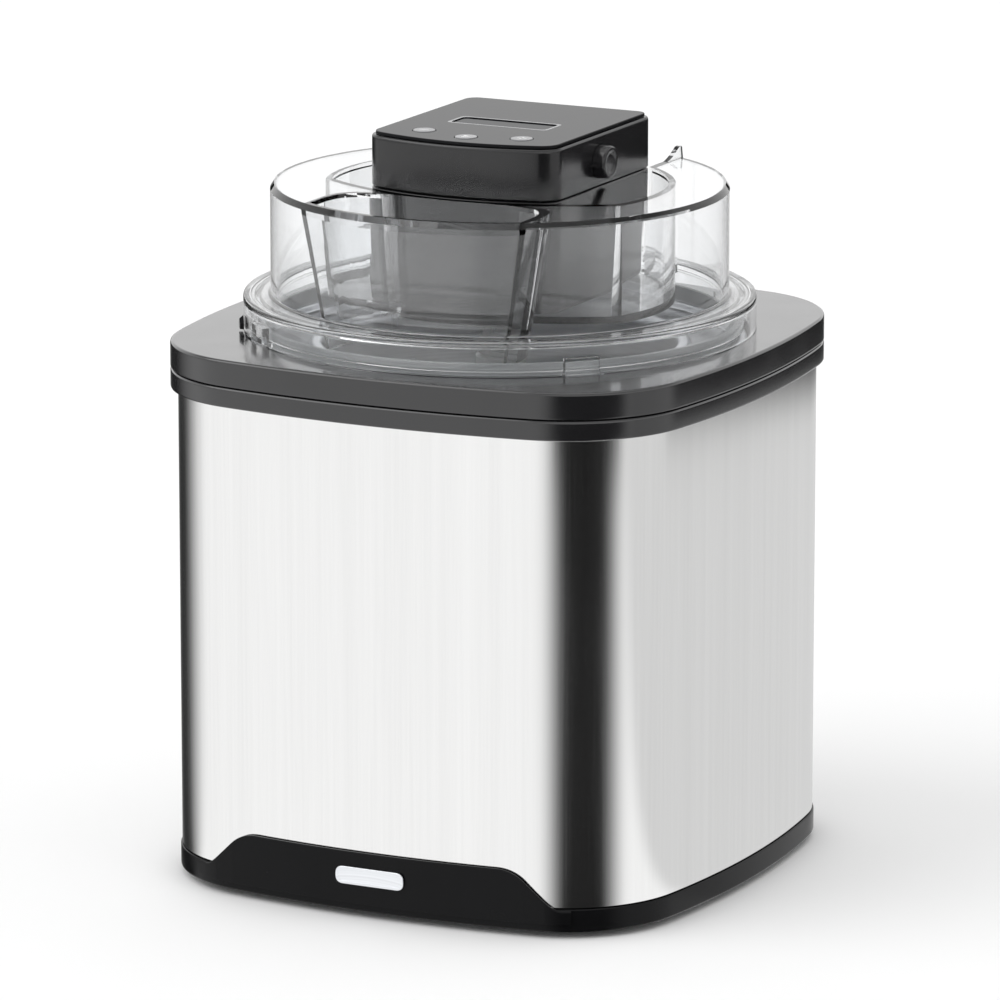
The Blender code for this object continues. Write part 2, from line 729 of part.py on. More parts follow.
def lid():
    shell = turned(
        "lid",
        [
            (FLANGE_RADIUS - 0.8, LID_BOTTOM), (FLANGE_RADIUS, LID_BOTTOM + 0.8),
            (FLANGE_RADIUS, LID_FLOOR - 1.6), (FLANGE_RADIUS - 1.6, LID_FLOOR),
            (DRUM_RADIUS + 1.0, LID_FLOOR), (DRUM_RADIUS, LID_FLOOR + 1.0),
            (DRUM_RADIUS, LID_TOP - 2.0), (DRUM_RADIUS - 2.0, LID_TOP),
        ],
        ROUND,
    )
    wall = LID_WALL
    hollow = turned(
        "lid_hollow",
        [
            (FLANGE_RADIUS - wall, LID_BOTTOM - 8), (FLANGE_RADIUS - wall, LID_FLOOR - wall),
            (97.5, LID_FLOOR - wall), (97.5, LID_BOTTOM + 0.8), (95.5, LID_BOTTOM + 0.8),
            (95.5, LID_FLOOR - wall), (DRUM_RADIUS - wall, LID_FLOOR - wall),
            (DRUM_RADIUS - wall, LID_TOP - wall),
        ],
        ROUND,
    )
    front = UNIT_FRONT - UNIT_BULGE - 0.6
    outer = POCKET_RADIUS + wall
    low = LID_FLOOR - wall - 0.2
    high = LID_TOP + 6
    pocket_block = skin("pocket_block", [pocket_outline(outer, front - wall, z) for z in (low, high)])
    rear_block = box("rear_block", (-REAR_GAP_HALF - wall, 40, low), (REAR_GAP_HALF + wall, 120, high))
    chute_block = skin(
        "chute_block",
        [
            chute_outline(CHUTE_FOOT_ANGLE, wall, CHUTE_FOOT_RADIUS + wall, front + 1, LID_BOTTOM + 0.3),
            chute_outline(CHUTE_TOP_ANGLE, wall, DRUM_RADIUS - 1, front + 1, high),
        ],
        facets=True,
    )
    cut(hollow, pocket_block, rear_block, chute_block)

    pocket = skin(
        "pocket_space",
        [pocket_outline(POCKET_RADIUS - 1.5, front, LID_FLOOR), pocket_outline(POCKET_RADIUS, front, high)],
        facets=True,
    )
    rear = box("rear_space", (-REAR_GAP_HALF, 38, LID_FLOOR + 0.4), (REAR_GAP_HALF, 130, high))
    chute = skin(
        "chute_space",
        [
            chute_outline(CHUTE_FOOT_ANGLE, 0, CHUTE_FOOT_RADIUS, front - wall - 0.8, LID_BOTTOM - 9),
            chute_outline(CHUTE_TOP_ANGLE, 0, DRUM_RADIUS - wall - 0.5, front - wall - 0.8, high),
        ],
        facets=True,
    )
    spindle_hole = turned("lid_spindle_hole", [(6.3, 205.0), (6.3, 240.0)])
    tongue_slot = skin("tongue_slot", [tongue_outline(0.7, height) for height in (225.0, 240.0)])
    boss = turned("lid_boss", [(9.0, 224.0), (9.0, LID_FLOOR - 1)])
    cut(shell, hollow, pocket, rear, chute)
    join(shell, boss)
    cut(shell, spindle_hole, tongue_slot)
    low = (95.9, -7.0, LID_BOTTOM - 1.9)
    high_corner = (101.6, 7.0, LID_BOTTOM + 6.0)
    join(shell, around("bayonet_lugs", DIAGONALS, low, high_corner))
    fins = []
    for side in (-1, 1):
        x = side * (REAR_GAP_HALF + 1.2)
        outline = [(74, LID_TOP - 1), (80.5, LID_TOP - 1), (80.5, LID_TOP + 4.5), (79.0, LID_TOP + 4.5)]
        loops = [[(x + shift, y, z) for y, z in outline] for shift in (-1.0, 1.0)]
        fins.append(skin(f"fin_{side}", loops))
    join(shell, merged("rear_fins", fins))
    paint(shell, "clear")

    low = LID_BOTTOM - 1.9
    high = LID_BOTTOM + 4.0
    seal = turned("lid_seal", [(93.2, low), (95.2, low), (95.2, high), (93.2, high)], 40, closed=True)
    paint(seal, "silicone")

    angle = math.radians(-90 - 57)
    outward = Vector((math.cos(angle), math.sin(angle), 0.0))
    sideways = Vector((-outward.y, outward.x, 0.0))
    loops = []
    for distance, half, top in ((FLANGE_RADIUS + 0.3, 3.4, 6.0), (FLANGE_RADIUS + 1.9, 2.6, 4.6)):
        middle = outward * distance
        loop = []
        for shift, height in ((-half, 0.8), (half, 0.8), (half, top * 0.6), (0.0, top), (-half, top * 0.6)):
            loop.append(middle + sideways * shift + Vector((0, 0, LID_BOTTOM + height)))
        loops.append(loop)
    paint(skin("lock_pointer", loops), "gloss_black")


# Motor unit


def unit_shells():
    lower = skin(
        "motor_lower_housing",
        [
            unit_outline(2.0, UNIT_BOTTOM),
            unit_outline(1.1, UNIT_BOTTOM + 1.2),
            unit_outline(0.0, UNIT_SEAM - 0.6),
            unit_outline(0.5, UNIT_SEAM - 0.2),
            unit_outline(UNIT_WALL, UNIT_SEAM - 0.2),
            unit_outline(UNIT_WALL + 1.1, UNIT_BOTTOM + 2.8),
        ],
    )
    layers = (UNIT_BOTTOM - TONGUE_DROP, UNIT_BOTTOM + 1.4)
    tongue = skin("front_tongue", [tongue_outline(0.0, height) for height in layers])
    nibs = []
    for side in (-1, 1):
        corners = ((-4.0, -7.0), (-1.0, -7.0), (4.5, -1.4), (1.5, -1.4))
        outline = [(RELEASE_Y + along, UNIT_SEAM + above) for along, above in corners]
        loops = [[(side * x, y, z) for y, z in outline] for x in (UNIT_HALF - 1.4, UNIT_HALF + 1.6)]
        nibs.append(skin(f"nib_{side}", loops))
    reach_x = PLATE_HALF[0] - PLATE_POST_INSET
    reach_y = PLATE_HALF[1] - PLATE_POST_INSET
    posts = []
    for side_x in (-1, 1):
        for side_y in (-1, 1):
            place = (PLATE_CENTRE[0] + side_x * reach_x, PLATE_CENTRE[1] + side_y * reach_y)
            profile = [(3.0, UNIT_BOTTOM + 1.4), (2.4, PLATE[0] - 0.2)]
            posts.append(turned(f"plate_post_{side_x}_{side_y}", profile, 10, place))
    join(lower, tongue, merged("side_nibs", nibs), merged("plate_posts", posts))
    spindle_hole = turned("unit_spindle_hole", [(10.4, 225.0), (10.4, 240.0)])
    gland_hole = rod("gland_hole", (0, 45, GLAND_HEIGHT), (0, 60, GLAND_HEIGHT), 5.3, 16)
    bores = []
    for number, place in enumerate(SCREW_PLACES):
        profile = [(3.3, 225.0), (3.3, UNIT_BOTTOM + 1.7), (1.5, UNIT_BOTTOM + 1.7), (1.5, 240.0)]
        bores.append(turned(f"unit_bore_{number}", profile, 12, place))
    cut(lower, spindle_hole, gland_hole, merged("unit_bores", bores))
    paint(lower, "black_plastic")

    upper = skin(
        "motor_upper_cover",
        [
            unit_outline(UNIT_WALL, UNIT_TOP - 2.2),
            unit_outline(UNIT_WALL, UNIT_SEAM + 0.2),
            unit_outline(0.5, UNIT_SEAM + 0.2),
            unit_outline(0.0, UNIT_SEAM + 0.6),
            unit_outline(0.0, UNIT_TOP - 1.6),
            unit_outline(1.2, UNIT_TOP),
        ],
    )
    posts = []
    bores = []
    for number, place in enumerate(SCREW_PLACES):
        profile = [(3.5, UNIT_BOTTOM + 3.3), (3.5, UNIT_TOP - 1)]
        posts.append(turned(f"cover_post_{number}", profile, 16, place))
        bores.append(turned(f"cover_bore_{number}", [(1.4, 230.0), (1.4, 254.0)], 12, place))
    for number, place in enumerate(BOARD_POSTS):
        posts.append(turned(f"board_post_{number}", [(2.0, BOARD_TOP + 0.3), (2.0, UNIT_TOP - 1)], 8, place))
    sides = []
    for side in (-1, 1):
        inner = (side * 36, RELEASE_Y, RELEASE_Z)
        outer = (side * 52, RELEASE_Y, RELEASE_Z)
        sides.append(rod(f"release_hole_{side}", inner, outer, RELEASE_RADIUS + 0.3))
    stems = []
    for key, place in KEY_PLACES.items():
        stems.append(turned(f"stem_hole_{key}", [(2.3, 290.0), (2.3, 305.0)], 12, place))
    window = box(
        "cover_window",
        (DISPLAY_CENTRE[0] - DISPLAY_HALF[0], DISPLAY_CENTRE[1] - DISPLAY_HALF[1], 290),
        (DISPLAY_CENTRE[0] + DISPLAY_HALF[0], DISPLAY_CENTRE[1] + DISPLAY_HALF[1], 300),
    )
    join(upper, merged("cover_posts", posts))
    cut(upper, merged("cover_bores", bores), merged("release_holes", sides))
    cut(upper, merged("stem_holes", stems), window)
    paint(upper, "black_plastic")

    low = UNIT_TOP + 0.3
    top = low + PANEL_THICK
    layers = ((1.6, low), (1.6, top - 0.3), (2.0, top))
    panel = skin("control_panel", [unit_outline(inset, height) for inset, height in layers])
    key_holes = []
    for key, place in KEY_PLACES.items():
        key_holes.append(turned(f"key_hole_{key}", [(4.8, 290.0), (4.8, 305.0)], 16, place))
    half_x, half_y = DISPLAY_HALF
    window = skin(
        "panel_window",
        [rounded_box(half_x - 1, half_y - 1, 2.0, z, DISPLAY_CENTRE) for z in (290, 305)],
    )
    cut(panel, merged("key_holes", key_holes), window)
    paint(panel, "gloss_black")

    lens = skin(
        "display_lens",
        [rounded_box(half_x - 1.3, half_y - 1.3, 1.7, z, DISPLAY_CENTRE) for z in (low, top)],
    )
    paint(lens, "lens")
    for key, place in KEY_PLACES.items():
        stem = [(1.9, BOARD_TOP + 1.0), (1.9, low + 0.5)]
        head = [(4.4, low + 0.5), (4.4, top + 0.1), (4.0, top + 0.3)]
        paint(turned(key, stem + head, 16, place), "key_grey")


def unit_fittings():
    for side, name in ((-1, "left"), (1, "right")):
        loops = []
        flange = (UNIT_HALF - 5.0, UNIT_HALF - 2.9)
        steps = (
            (flange[0], RELEASE_RADIUS + 1.6),
            (flange[1], RELEASE_RADIUS + 1.6),
            (flange[1], RELEASE_RADIUS),
            (UNIT_HALF + 4.1, RELEASE_RADIUS),
            (UNIT_HALF + 5.3, RELEASE_RADIUS - 1.2),
        )
        for x, radius in steps:
            loop = [polar(radius, angle, (RELEASE_Y, RELEASE_Z)) for angle in turn(20)]
            loops.append([(side * x, y, z) for y, z in loop])
        paint(skin(f"release_button_{name}", loops), "black_plastic")

    for number, place in enumerate(SCREW_PLACES):
        bottom = UNIT_BOTTOM + 0.2
        head = bottom + 1.2
        profile = [(2.5, bottom), (2.9, bottom + 0.4), (2.9, head), (1.2, head), (1.2, 252.0)]
        paint(turned(f"cover_screw_{number + 1}", profile, 10, place), "zinc")

    steps = ((-5.1, 6.8), (-3.3, 6.8), (-3.3, 5.0), (-0.5, 5.0), (-0.5, 6.4), (2.5, 5.4), (9.0, 4.4))
    loops = []
    for beyond, radius in steps:
        loop = [polar(radius, angle, (0.0, GLAND_HEIGHT)) for angle in turn(16)]
        loops.append([(x, UNIT_BACK + beyond, z) for x, z in loop])
    gland = skin("cord_gland", loops)
    cut(gland, rod("gland_bore", (0, 40, GLAND_HEIGHT), (0, 70, GLAND_HEIGHT), 2.6, 12))
    paint(gland, "rubber")

    bush = turned(
        "spindle_bush",
        [(8.2, 232.8), (10.1, 232.8), (10.1, 235.2), (12.5, 235.2), (12.5, 237.4), (8.2, 237.4)],
        24,
        closed=True,
    )
    paint(bush, "acetal")

    board = box("circuit_board", (-30, -29.0, BOARD_TOP - 1.6), (30, 8, BOARD_TOP))
    paint(board, "board")
    half_x, half_y = DISPLAY_HALF
    low = (DISPLAY_CENTRE[0] - half_x + 0.8, DISPLAY_CENTRE[1] - half_y + 0.8, BOARD_TOP + 0.3)
    high = (DISPLAY_CENTRE[0] + half_x - 0.8, DISPLAY_CENTRE[1] + half_y - 0.8, 297.3)
    paint(box("display_module", low, high), "white_plastic")


def gear_train():
    centre = (0.0, 0.0)
    spindle = [
        lobed(5.1, 0.7, 248.0, 8, GEAR_POINTS),
        lobed(5.1, 0.7, 237.4, 8, GEAR_POINTS),
        circle(5.9, 237.2, GEAR_POINTS),
        circle(5.9, 232.7, GEAR_POINTS),
        circle(8.0, 232.7, GEAR_POINTS),
        circle(8.0, LOW_GEAR[0], GEAR_POINTS),
        gear(SPINDLE_TEETH, LOW_GEAR[0] + 0.01, COMPOUND_ANGLE, centre),
        gear(SPINDLE_TEETH, LOW_GEAR[1], COMPOUND_ANGLE, centre),
        circle(3.0, LOW_GEAR[1] + 0.01, GEAR_POINTS),
        circle(3.0, PLATE[1] + 0.6, GEAR_POINTS),
    ]
    paint(skin("output_spindle", spindle), "acetal")

    small_phase = COMPOUND_ANGLE + math.pi + math.pi / COMPOUND_SMALL
    x, y = COMPOUND_AXIS
    bore = 1.7
    compound = [
        circle(bore, LOW_GEAR[0], GEAR_POINTS, COMPOUND_AXIS, small_phase),
        gear(COMPOUND_SMALL, LOW_GEAR[0], small_phase, COMPOUND_AXIS, 8),
        gear(COMPOUND_SMALL, HIGH_GEAR[0], small_phase, COMPOUND_AXIS, 8),
        gear(COMPOUND_LARGE, HIGH_GEAR[0] + 0.01, MOTOR_ANGLE, COMPOUND_AXIS),
        gear(COMPOUND_LARGE, HIGH_GEAR[1], MOTOR_ANGLE, COMPOUND_AXIS),
        circle(bore, HIGH_GEAR[1] + 0.01, GEAR_POINTS, COMPOUND_AXIS, small_phase),
    ]
    paint(skin("compound_gear", compound, closed=True), "acetal")
    pin = turned("gear_pin", [(1.5, UNIT_BOTTOM + 3.1), (1.5, PLATE[1] + 1.5)], 12, COMPOUND_AXIS)
    paint(pin, "zinc")

    pinion_phase = MOTOR_ANGLE + math.pi + math.pi / PINION_TEETH
    pinion = [
        gear(PINION_TEETH, HIGH_GEAR[0] - 0.5, pinion_phase, MOTOR_AXIS),
        gear(PINION_TEETH, HIGH_GEAR[1] + 0.5, pinion_phase, MOTOR_AXIS),
        circle(1.5, HIGH_GEAR[1] + 0.51, 32, MOTOR_AXIS, pinion_phase),
        circle(1.5, PLATE[1] + 6, 32, MOTOR_AXIS, pinion_phase),
    ]
    paint(skin("motor_pinion", pinion), "brass")

    radius = MOTOR_CAN_RADIUS
    foot = PLATE[1] + 0.3
    profile = [(radius - 1, foot), (radius, foot + 1), (radius, foot + 18.7), (radius - 1.5, foot + 20.2)]
    can = turned("gear_motor", profile, 32, MOTOR_AXIS)
    cut(can, turned("can_bore", [(1.8, 260.0), (1.8, PLATE[1] + 8)], 12, MOTOR_AXIS))
    paint(can, "zinc")

    plate = skin("gearbox_plate", [rounded_box(*PLATE_HALF, 4, z, PLATE_CENTRE) for z in PLATE])
    holes = [
        turned("plate_hole_spindle", [(3.3, 250.0), (3.3, 280.0)], 16, centre),
        turned("plate_hole_pin", [(1.8, 250.0), (1.8, 280.0)], 12, COMPOUND_AXIS),
        turned("plate_hole_motor", [(3.2, 250.0), (3.2, 280.0)], 16, MOTOR_AXIS),
    ]
    cut(plate, merged("plate_holes", holes))
    paint(plate, "steel_sheet")


def main():
    for obj in list(bpy.data.objects):
        bpy.data.objects.remove(obj)
    housing()
    base()
    locking_ring()
    bowl()
    paddle()
    shaft()
    lid()
    unit_shells()
    unit_fittings()
    gear_train()


main()
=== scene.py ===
"""Ice cream maker: finer pieces, finishes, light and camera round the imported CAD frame.

Front is -Y, up is +Z. Helpers take millimetres and write metres, as the frame does.
"""

import json
import math
from contextlib import contextmanager

import bmesh
import bpy
import numpy as np
from mathutils import Matrix, Vector

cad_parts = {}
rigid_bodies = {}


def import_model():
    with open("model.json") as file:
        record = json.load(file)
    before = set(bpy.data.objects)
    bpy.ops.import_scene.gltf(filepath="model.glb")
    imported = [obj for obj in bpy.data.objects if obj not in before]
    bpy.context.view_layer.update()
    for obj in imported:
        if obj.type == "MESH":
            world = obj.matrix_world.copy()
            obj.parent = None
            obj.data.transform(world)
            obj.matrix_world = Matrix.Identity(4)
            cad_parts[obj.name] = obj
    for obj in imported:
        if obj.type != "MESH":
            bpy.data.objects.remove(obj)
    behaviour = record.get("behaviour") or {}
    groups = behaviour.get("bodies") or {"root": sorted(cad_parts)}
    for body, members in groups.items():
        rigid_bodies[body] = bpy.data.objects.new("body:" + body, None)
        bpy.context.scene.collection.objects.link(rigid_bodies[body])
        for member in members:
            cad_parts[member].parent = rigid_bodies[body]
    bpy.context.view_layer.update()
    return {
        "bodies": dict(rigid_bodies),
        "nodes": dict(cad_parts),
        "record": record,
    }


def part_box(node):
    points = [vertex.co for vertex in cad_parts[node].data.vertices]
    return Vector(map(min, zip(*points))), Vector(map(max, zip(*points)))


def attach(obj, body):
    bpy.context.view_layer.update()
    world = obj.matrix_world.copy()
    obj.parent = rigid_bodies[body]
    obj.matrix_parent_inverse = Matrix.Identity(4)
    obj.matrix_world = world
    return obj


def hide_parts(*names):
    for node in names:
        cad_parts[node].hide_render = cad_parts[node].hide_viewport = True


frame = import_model()

MM = 0.001
FINE = 256  # points round the housing, the rings and the bowl
CLEAR = 192  # points round the lid
SMALL = 48  # points round pins, hubs and buttons


def top(node):
    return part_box(node)[1].z / MM


def bottom(node):
    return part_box(node)[0].z / MM


def reach(node, axis=0):
    """How far the node goes along the axis, on the plus side."""
    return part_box(node)[1][axis] / MM


# Sizes, repeated from the CAD source where the frame's boxes don't give them.
CORNER_RADIUS = 50.0
SIDE_RADIUS = 420.0
ACROSS_FLATS = 2 * reach("housing_sleeve")
RIM_OVERHANG = reach("housing_rim") - reach("housing_sleeve")
OPENING_RADIUS = 106.5
LINER_RADIUS = 105.5
RING_OPENING = 100.8
SKIRT_RADIUS = 102.5
FLANGE_RADIUS = 102.5
DRUM_RADIUS = 91.5
LID_WALL = 2.4
POCKET_RADIUS = 67.5
REAR_GAP_HALF = 40.0
CHUTE_TOP_ANGLE = math.radians(32.0)
CHUTE_FOOT_ANGLE = math.radians(26.6)
CHUTE_FOOT_RADIUS = 80.0
UNIT_FRONT = -35.0
UNIT_HALF = reach("motor_upper_cover")
UNIT_BACK = reach("motor_upper_cover", 1)
UNIT_BULGE = 8.0
UNIT_CORNER = 6.5
UNIT_WALL = 2.2
KEYS = {"key_less": (-21.5, -24.0), "key_start": (0.0, -30.0), "key_more": (21.5, -24.0)}
DISPLAY_CENTRE = (0.0, 4.0)
DISPLAY_HALF = (22.0, 7.5)
RELEASE = (5.0, 286.8)
RELEASE_RADIUS = 6.6
DIAGONALS = [math.radians(45 + 90 * quarter) for quarter in range(4)]
NOTCH_HALF = 9.0
SCREW_PLACES = [(48.0 * side_x, 48.0 * side_y) for side_x in (-1, 1) for side_y in (-1, 1)]


# Finishes: each builds one node material on a Principled shader.


class Nodes:
    """Short ways to write a material's nodes."""

    def __init__(self, name):
        self.material = bpy.data.materials.new(name)
        self.material.use_nodes = True
        self.tree = self.material.node_tree
        self.shader = self.tree.nodes["Principled BSDF"]
        self.where = self.add("ShaderNodeTexCoord").outputs["Object"]

    def add(self, kind, inputs=None, **settings):
        node = self.tree.nodes.new(kind)
        for key, value in settings.items():
            setattr(node, key, value)
        for key, value in (inputs or {}).items():
            self.set(node, key, value)
        return node

    def set(self, node, key, value):
        socket = node.inputs[key]
        if isinstance(value, bpy.types.NodeSocket):
            self.tree.links.new(value, socket)
        else:
            socket.default_value = value

    def noise(self, scale, detail=4.0, stretch=(1, 1, 1), rough=0.55):
        mapped = self.add("ShaderNodeMapping", {"Vector": self.where, "Scale": stretch})
        inputs = {"Vector": mapped.outputs[0], "Scale": scale, "Detail": detail, "Roughness": rough}
        return self.add("ShaderNodeTexNoise", inputs).outputs["Fac"]

    def cells(self, scale):
        return self.add("ShaderNodeTexVoronoi", {"Vector": self.where, "Scale": scale}).outputs[0]

    def span(self, value, low=0.0, high=1.0, start=0.3, end=0.7):
        inputs = {"Value": value, "From Min": start, "From Max": end, "To Min": low, "To Max": high}
        return self.add("ShaderNodeMapRange", inputs).outputs[0]

    def mix(self, value, first, second):
        node = self.add("ShaderNodeMix", data_type="RGBA")
        self.set(node, "Factor", value)
        node.inputs[6].default_value = (*first, 1)
        node.inputs[7].default_value = (*second, 1)
        return node.outputs[2]

    def math(self, operation, first, second):
        return self.add("ShaderNodeMath", {0: first, 1: second}, operation=operation).outputs[0]

    def plus(self, first, second):
        return self.math("ADD", first, second)

    def minus(self, first, second):
        return self.math("SUBTRACT", first, second)

    def times(self, first, second):
        return self.math("MULTIPLY", first, second)

    def blend(self, share, first, second):
        return self.add("ShaderNodeMix", {0: share, 2: first, 3: second}).outputs[0]

    def length(self, x, y):
        """How long a flat vector is."""
        flat = self.add("ShaderNodeCombineXYZ", {0: x, 1: y}).outputs[0]
        return self.add("ShaderNodeVectorMath", {0: flat}, operation="LENGTH").outputs["Value"]

    def bump(self, *layers):
        """Stack bumps, each (height, strength, distance in millimetres)."""
        normal = None
        for height, strength, distance in layers:
            inputs = {"Height": height, "Strength": strength, "Distance": distance * MM}
            node = self.add("ShaderNodeBump", inputs)
            if normal is not None:
                self.set(node, "Normal", normal)
            normal = node.outputs[0]
        self.set(self.shader, "Normal", normal)

    def finish(self, **sockets):
        for key, value in sockets.items():
            self.set(self.shader, key.replace("_", " "), value)
        return self.material


def moulded(name, dark, light, rough=(0.32, 0.42), grain=0.25, grain_size=900.0, **more):
    """Injection-moulded plastic: faint flow marks, spark-eroded grain and a little handling wear."""
    n = Nodes(name)
    flow = n.noise(14.0, 5.0, (1, 1, 0.35))
    colour = n.mix(n.span(flow), dark, light)
    n.bump((n.noise(grain_size, 2.0), grain, 0.03), (flow, 0.04, 0.2))
    return n.finish(Base_Color=colour, Roughness=n.span(n.noise(55.0, 3.0), *rough), **more)


def brushed(name, dark, light, rough, stretch, bump):
    """Sheet metal brushed one way: long fine scratches, with soft clouds of tone between them."""
    n = Nodes(name)
    lines = n.noise(900.0, 3.0, stretch, 0.7)
    broad = n.noise(160.0, 2.0, stretch, 0.6)
    shade = n.span(n.plus(n.times(lines, 0.5), n.times(broad, 0.5)), 0.0, 1.0, 0.35, 0.65)
    both = n.plus(n.times(lines, 0.6), n.times(n.noise(9.0, 3.0), 0.4))
    n.bump((lines, bump, 0.02))
    roughness = n.span(both, *rough, 0.35, 0.65)
    return n.finish(Base_Color=n.mix(shade, dark, light), Roughness=roughness, Metallic=1.0, Anisotropic=0.6)


def spun(name, dark, light, rough, rings=1400.0, satin=None):
    """Turned or spun metal: fine rings round the machine's axis, and cloudiness.

    The last argument gives the radii, in millimetres, between which the colour is painted darker, a painted shade
    that gives a dimmer reflection there.
    """
    n = Nodes(name)
    x, y, z = n.add("ShaderNodeSeparateXYZ", {0: n.where}).outputs
    radius = n.length(x, y)
    inputs = {"W": n.plus(radius, n.times(z, 0.83)), "Scale": rings, "Detail": 3.0}
    lines = n.add("ShaderNodeTexNoise", inputs, noise_dimensions="1D").outputs["Fac"]
    shade = n.span(lines)
    if satin is not None:
        past_start = n.math("GREATER_THAN", radius, satin[0] * MM)
        inside = n.times(past_start, n.math("LESS_THAN", radius, satin[1] * MM))
        # Painted shade: between these radii the colour drops to its dark end, so the ledge reflects dimmer.
        shade = n.times(n.span(shade, 0.75, 1.0, 0.0, 1.0), n.minus(1.0, inside))
    n.bump((lines, 0.18, 0.03), (n.noise(700.0, 2.0), 0.08, 0.03))
    roughness = n.span(n.noise(22.0, 4.0), *rough)
    return n.finish(Base_Color=n.mix(shade, dark, light), Roughness=roughness, Metallic=1.0)


def clear_plastic(name):
    """Clear styrene: even colour, a little flow ripple and faint smears from handling."""
    n = Nodes(name)
    smear = n.noise(18.0, 5.0, (1, 1, 0.5))
    colour = n.mix(n.span(smear), (0.975, 0.985, 0.99), (0.99, 0.99, 0.995))
    n.bump((n.noise(30.0, 2.0), 0.05, 0.12))
    roughness = n.span(smear, 0.015, 0.05, 0.45, 0.75)
    return n.finish(Base_Color=colour, Roughness=roughness, Transmission_Weight=1.0, IOR=1.52)


def rubber(name, dark, light, rough=(0.6, 0.78)):
    """Rubber or silicone: a dull bloom over a fine cellular skin."""
    n = Nodes(name)
    bloom = n.noise(60.0, 5.0)
    n.bump((n.cells(1400.0), 0.3, 0.05))
    return n.finish(Base_Color=n.mix(n.span(bloom), dark, light), Roughness=n.span(bloom, *rough))


def grey(level, blue=0.0):
    """A grey, with this much more blue."""
    return level, level, level + blue


def make_finishes():
    """The finishes by name. Most names are the record's material slots."""
    black = grey(0.0075, 0.0007), grey(0.0125, 0.001)
    return {
        "steel_sheet": brushed(
            "brushed_steel", grey(0.85, -0.005), grey(0.90, -0.005), (0.13, 0.18), (1, 1, 0.012), 0.07,
        ),
        "black_plastic": moulded(
            "black_plastic", *black, (0.13, 0.19), 0.06, 1100.0, IOR=1.6, Coat_Weight=0.5, Coat_Roughness=0.06,
        ),
        "unit_plastic": moulded("unit_plastic", *black, (0.16, 0.22), 0.03, 1000.0, IOR=1.58),
        "base_plastic": moulded(
            "base_plastic", grey(0.004, 0.0005), grey(0.006, 0.0005), (0.20, 0.28), 0.06, IOR=1.22,
        ),
        "gloss_black": moulded(
            "gloss_black", grey(0.010, 0.001), grey(0.014, 0.001), (0.05, 0.09), 0.02, IOR=1.13,
        ),
        "dark_liner": moulded("dark_liner", grey(0.016, 0.003), grey(0.026, 0.004), (0.30, 0.42), 0.1),
        "white_plastic": moulded(
            "white_plastic", (0.87, 0.865, 0.85), (0.91, 0.905, 0.89), (0.12, 0.20), 0.05, 700.0,
            Subsurface_Weight=0.08, Subsurface_Scale=0.004,
        ),
        "cream_plastic": moulded(
            "cream_plastic", grey(0.77, -0.02), grey(0.84, -0.015), (0.30, 0.42), 0.22, 800.0,
            Subsurface_Weight=0.12, Subsurface_Scale=0.005,
        ),
        "aluminium": spun(
            "spun_aluminium", (0.50, 0.51, 0.53), (0.90, 0.92, 0.95), (0.26, 0.36), satin=(76.0, 94.2),
        ),
        "rubber": rubber("black_rubber", grey(0.012), grey(0.026)),
        "silicone": rubber("silicone", (0.72, 0.74, 0.75), (0.80, 0.82, 0.83), (0.35, 0.5)),
        "gel": moulded("frozen_gel", (0.25, 0.42, 0.62), (0.46, 0.66, 0.84), (0.3, 0.5)),
        "clear": clear_plastic("clear_plastic"),
        "lens": moulded(
            "smoked_lens", (0.012, 0.013, 0.015), (0.020, 0.021, 0.024), (0.04, 0.08), 0.01, IOR=1.10,
        ),
        "zinc": spun("zinc_plate", grey(0.46, -0.02), grey(0.64, -0.02), (0.25, 0.42), 3000.0),
        "brass": spun("brass", (0.60, 0.44, 0.18), (0.78, 0.62, 0.30), (0.22, 0.36), 3000.0),
        "board": moulded("board_lacquer", (0.012, 0.10, 0.04), (0.03, 0.19, 0.08), (0.22, 0.4), 0.4, 500.0),
        "acetal": moulded("acetal", grey(0.66, -0.05), grey(0.76, -0.04), (0.28, 0.42), 0.2, 900.0),
        "key_grey": moulded("key_grey", grey(0.26, 0.01), grey(0.36, 0.01), (0.22, 0.34), 0.15, 1200.0),
        "mark_white": moulded("mark_white", grey(0.70), grey(0.82), (0.35, 0.5), 0.1),
    }


FINISH = make_finishes()
SLOT_OF = {row["node"]: row["material_slot"] for row in frame["record"]["subparts"]}
BODIES = frame["record"]["behaviour"]["bodies"]
BODY_OF = {node: body for body, nodes in BODIES.items() for node in nodes}


# Loops: arrays of points, one row per point, in millimetres.


def angles(count, crowd=0.35 / 4):
    """Angles round a full turn, closer together at the diagonals where the housing has its corners."""
    even = 2 * math.pi * np.arange(count) / count
    return even + crowd * np.sin(4 * even)


def side_geometry():
    """Half the sweep of one side's arc, and the offset of the corner arc's centre on both axes."""
    inner = SIDE_RADIUS - CORNER_RADIUS
    sweep = math.acos((SIDE_RADIUS - ACROSS_FLATS / 2) / inner / math.sqrt(2)) - math.pi / 4
    return sweep, inner * math.sin(sweep)


def square_radius(angle, offset):
    """Distance from the axis to the housing's outline, moved outward by offset, at this angle."""
    sweep, corner = side_geometry()
    fold = abs((angle + math.pi / 4) % (math.pi / 2) - math.pi / 4)
    side = SIDE_RADIUS + offset
    back = SIDE_RADIUS - ACROSS_FLATS / 2
    limit = math.atan2(side * math.sin(sweep), side * math.cos(sweep) - back)
    if fold <= limit:
        return math.sqrt(side**2 - (back * math.sin(fold)) ** 2) - back * math.cos(fold)
    across = corner * (math.cos(fold) - math.sin(fold))
    return corner * (math.cos(fold) + math.sin(fold)) + math.sqrt((CORNER_RADIUS + offset) ** 2 - across**2)


def around(radii, turn, height, centre=(0.0, 0.0)):
    """A level loop: one radius, or one for each angle, round a centre."""
    x = centre[0] + radii * np.cos(turn)
    y = centre[1] + radii * np.sin(turn)
    return np.stack([x, y, np.full(len(turn), float(height))], 1)


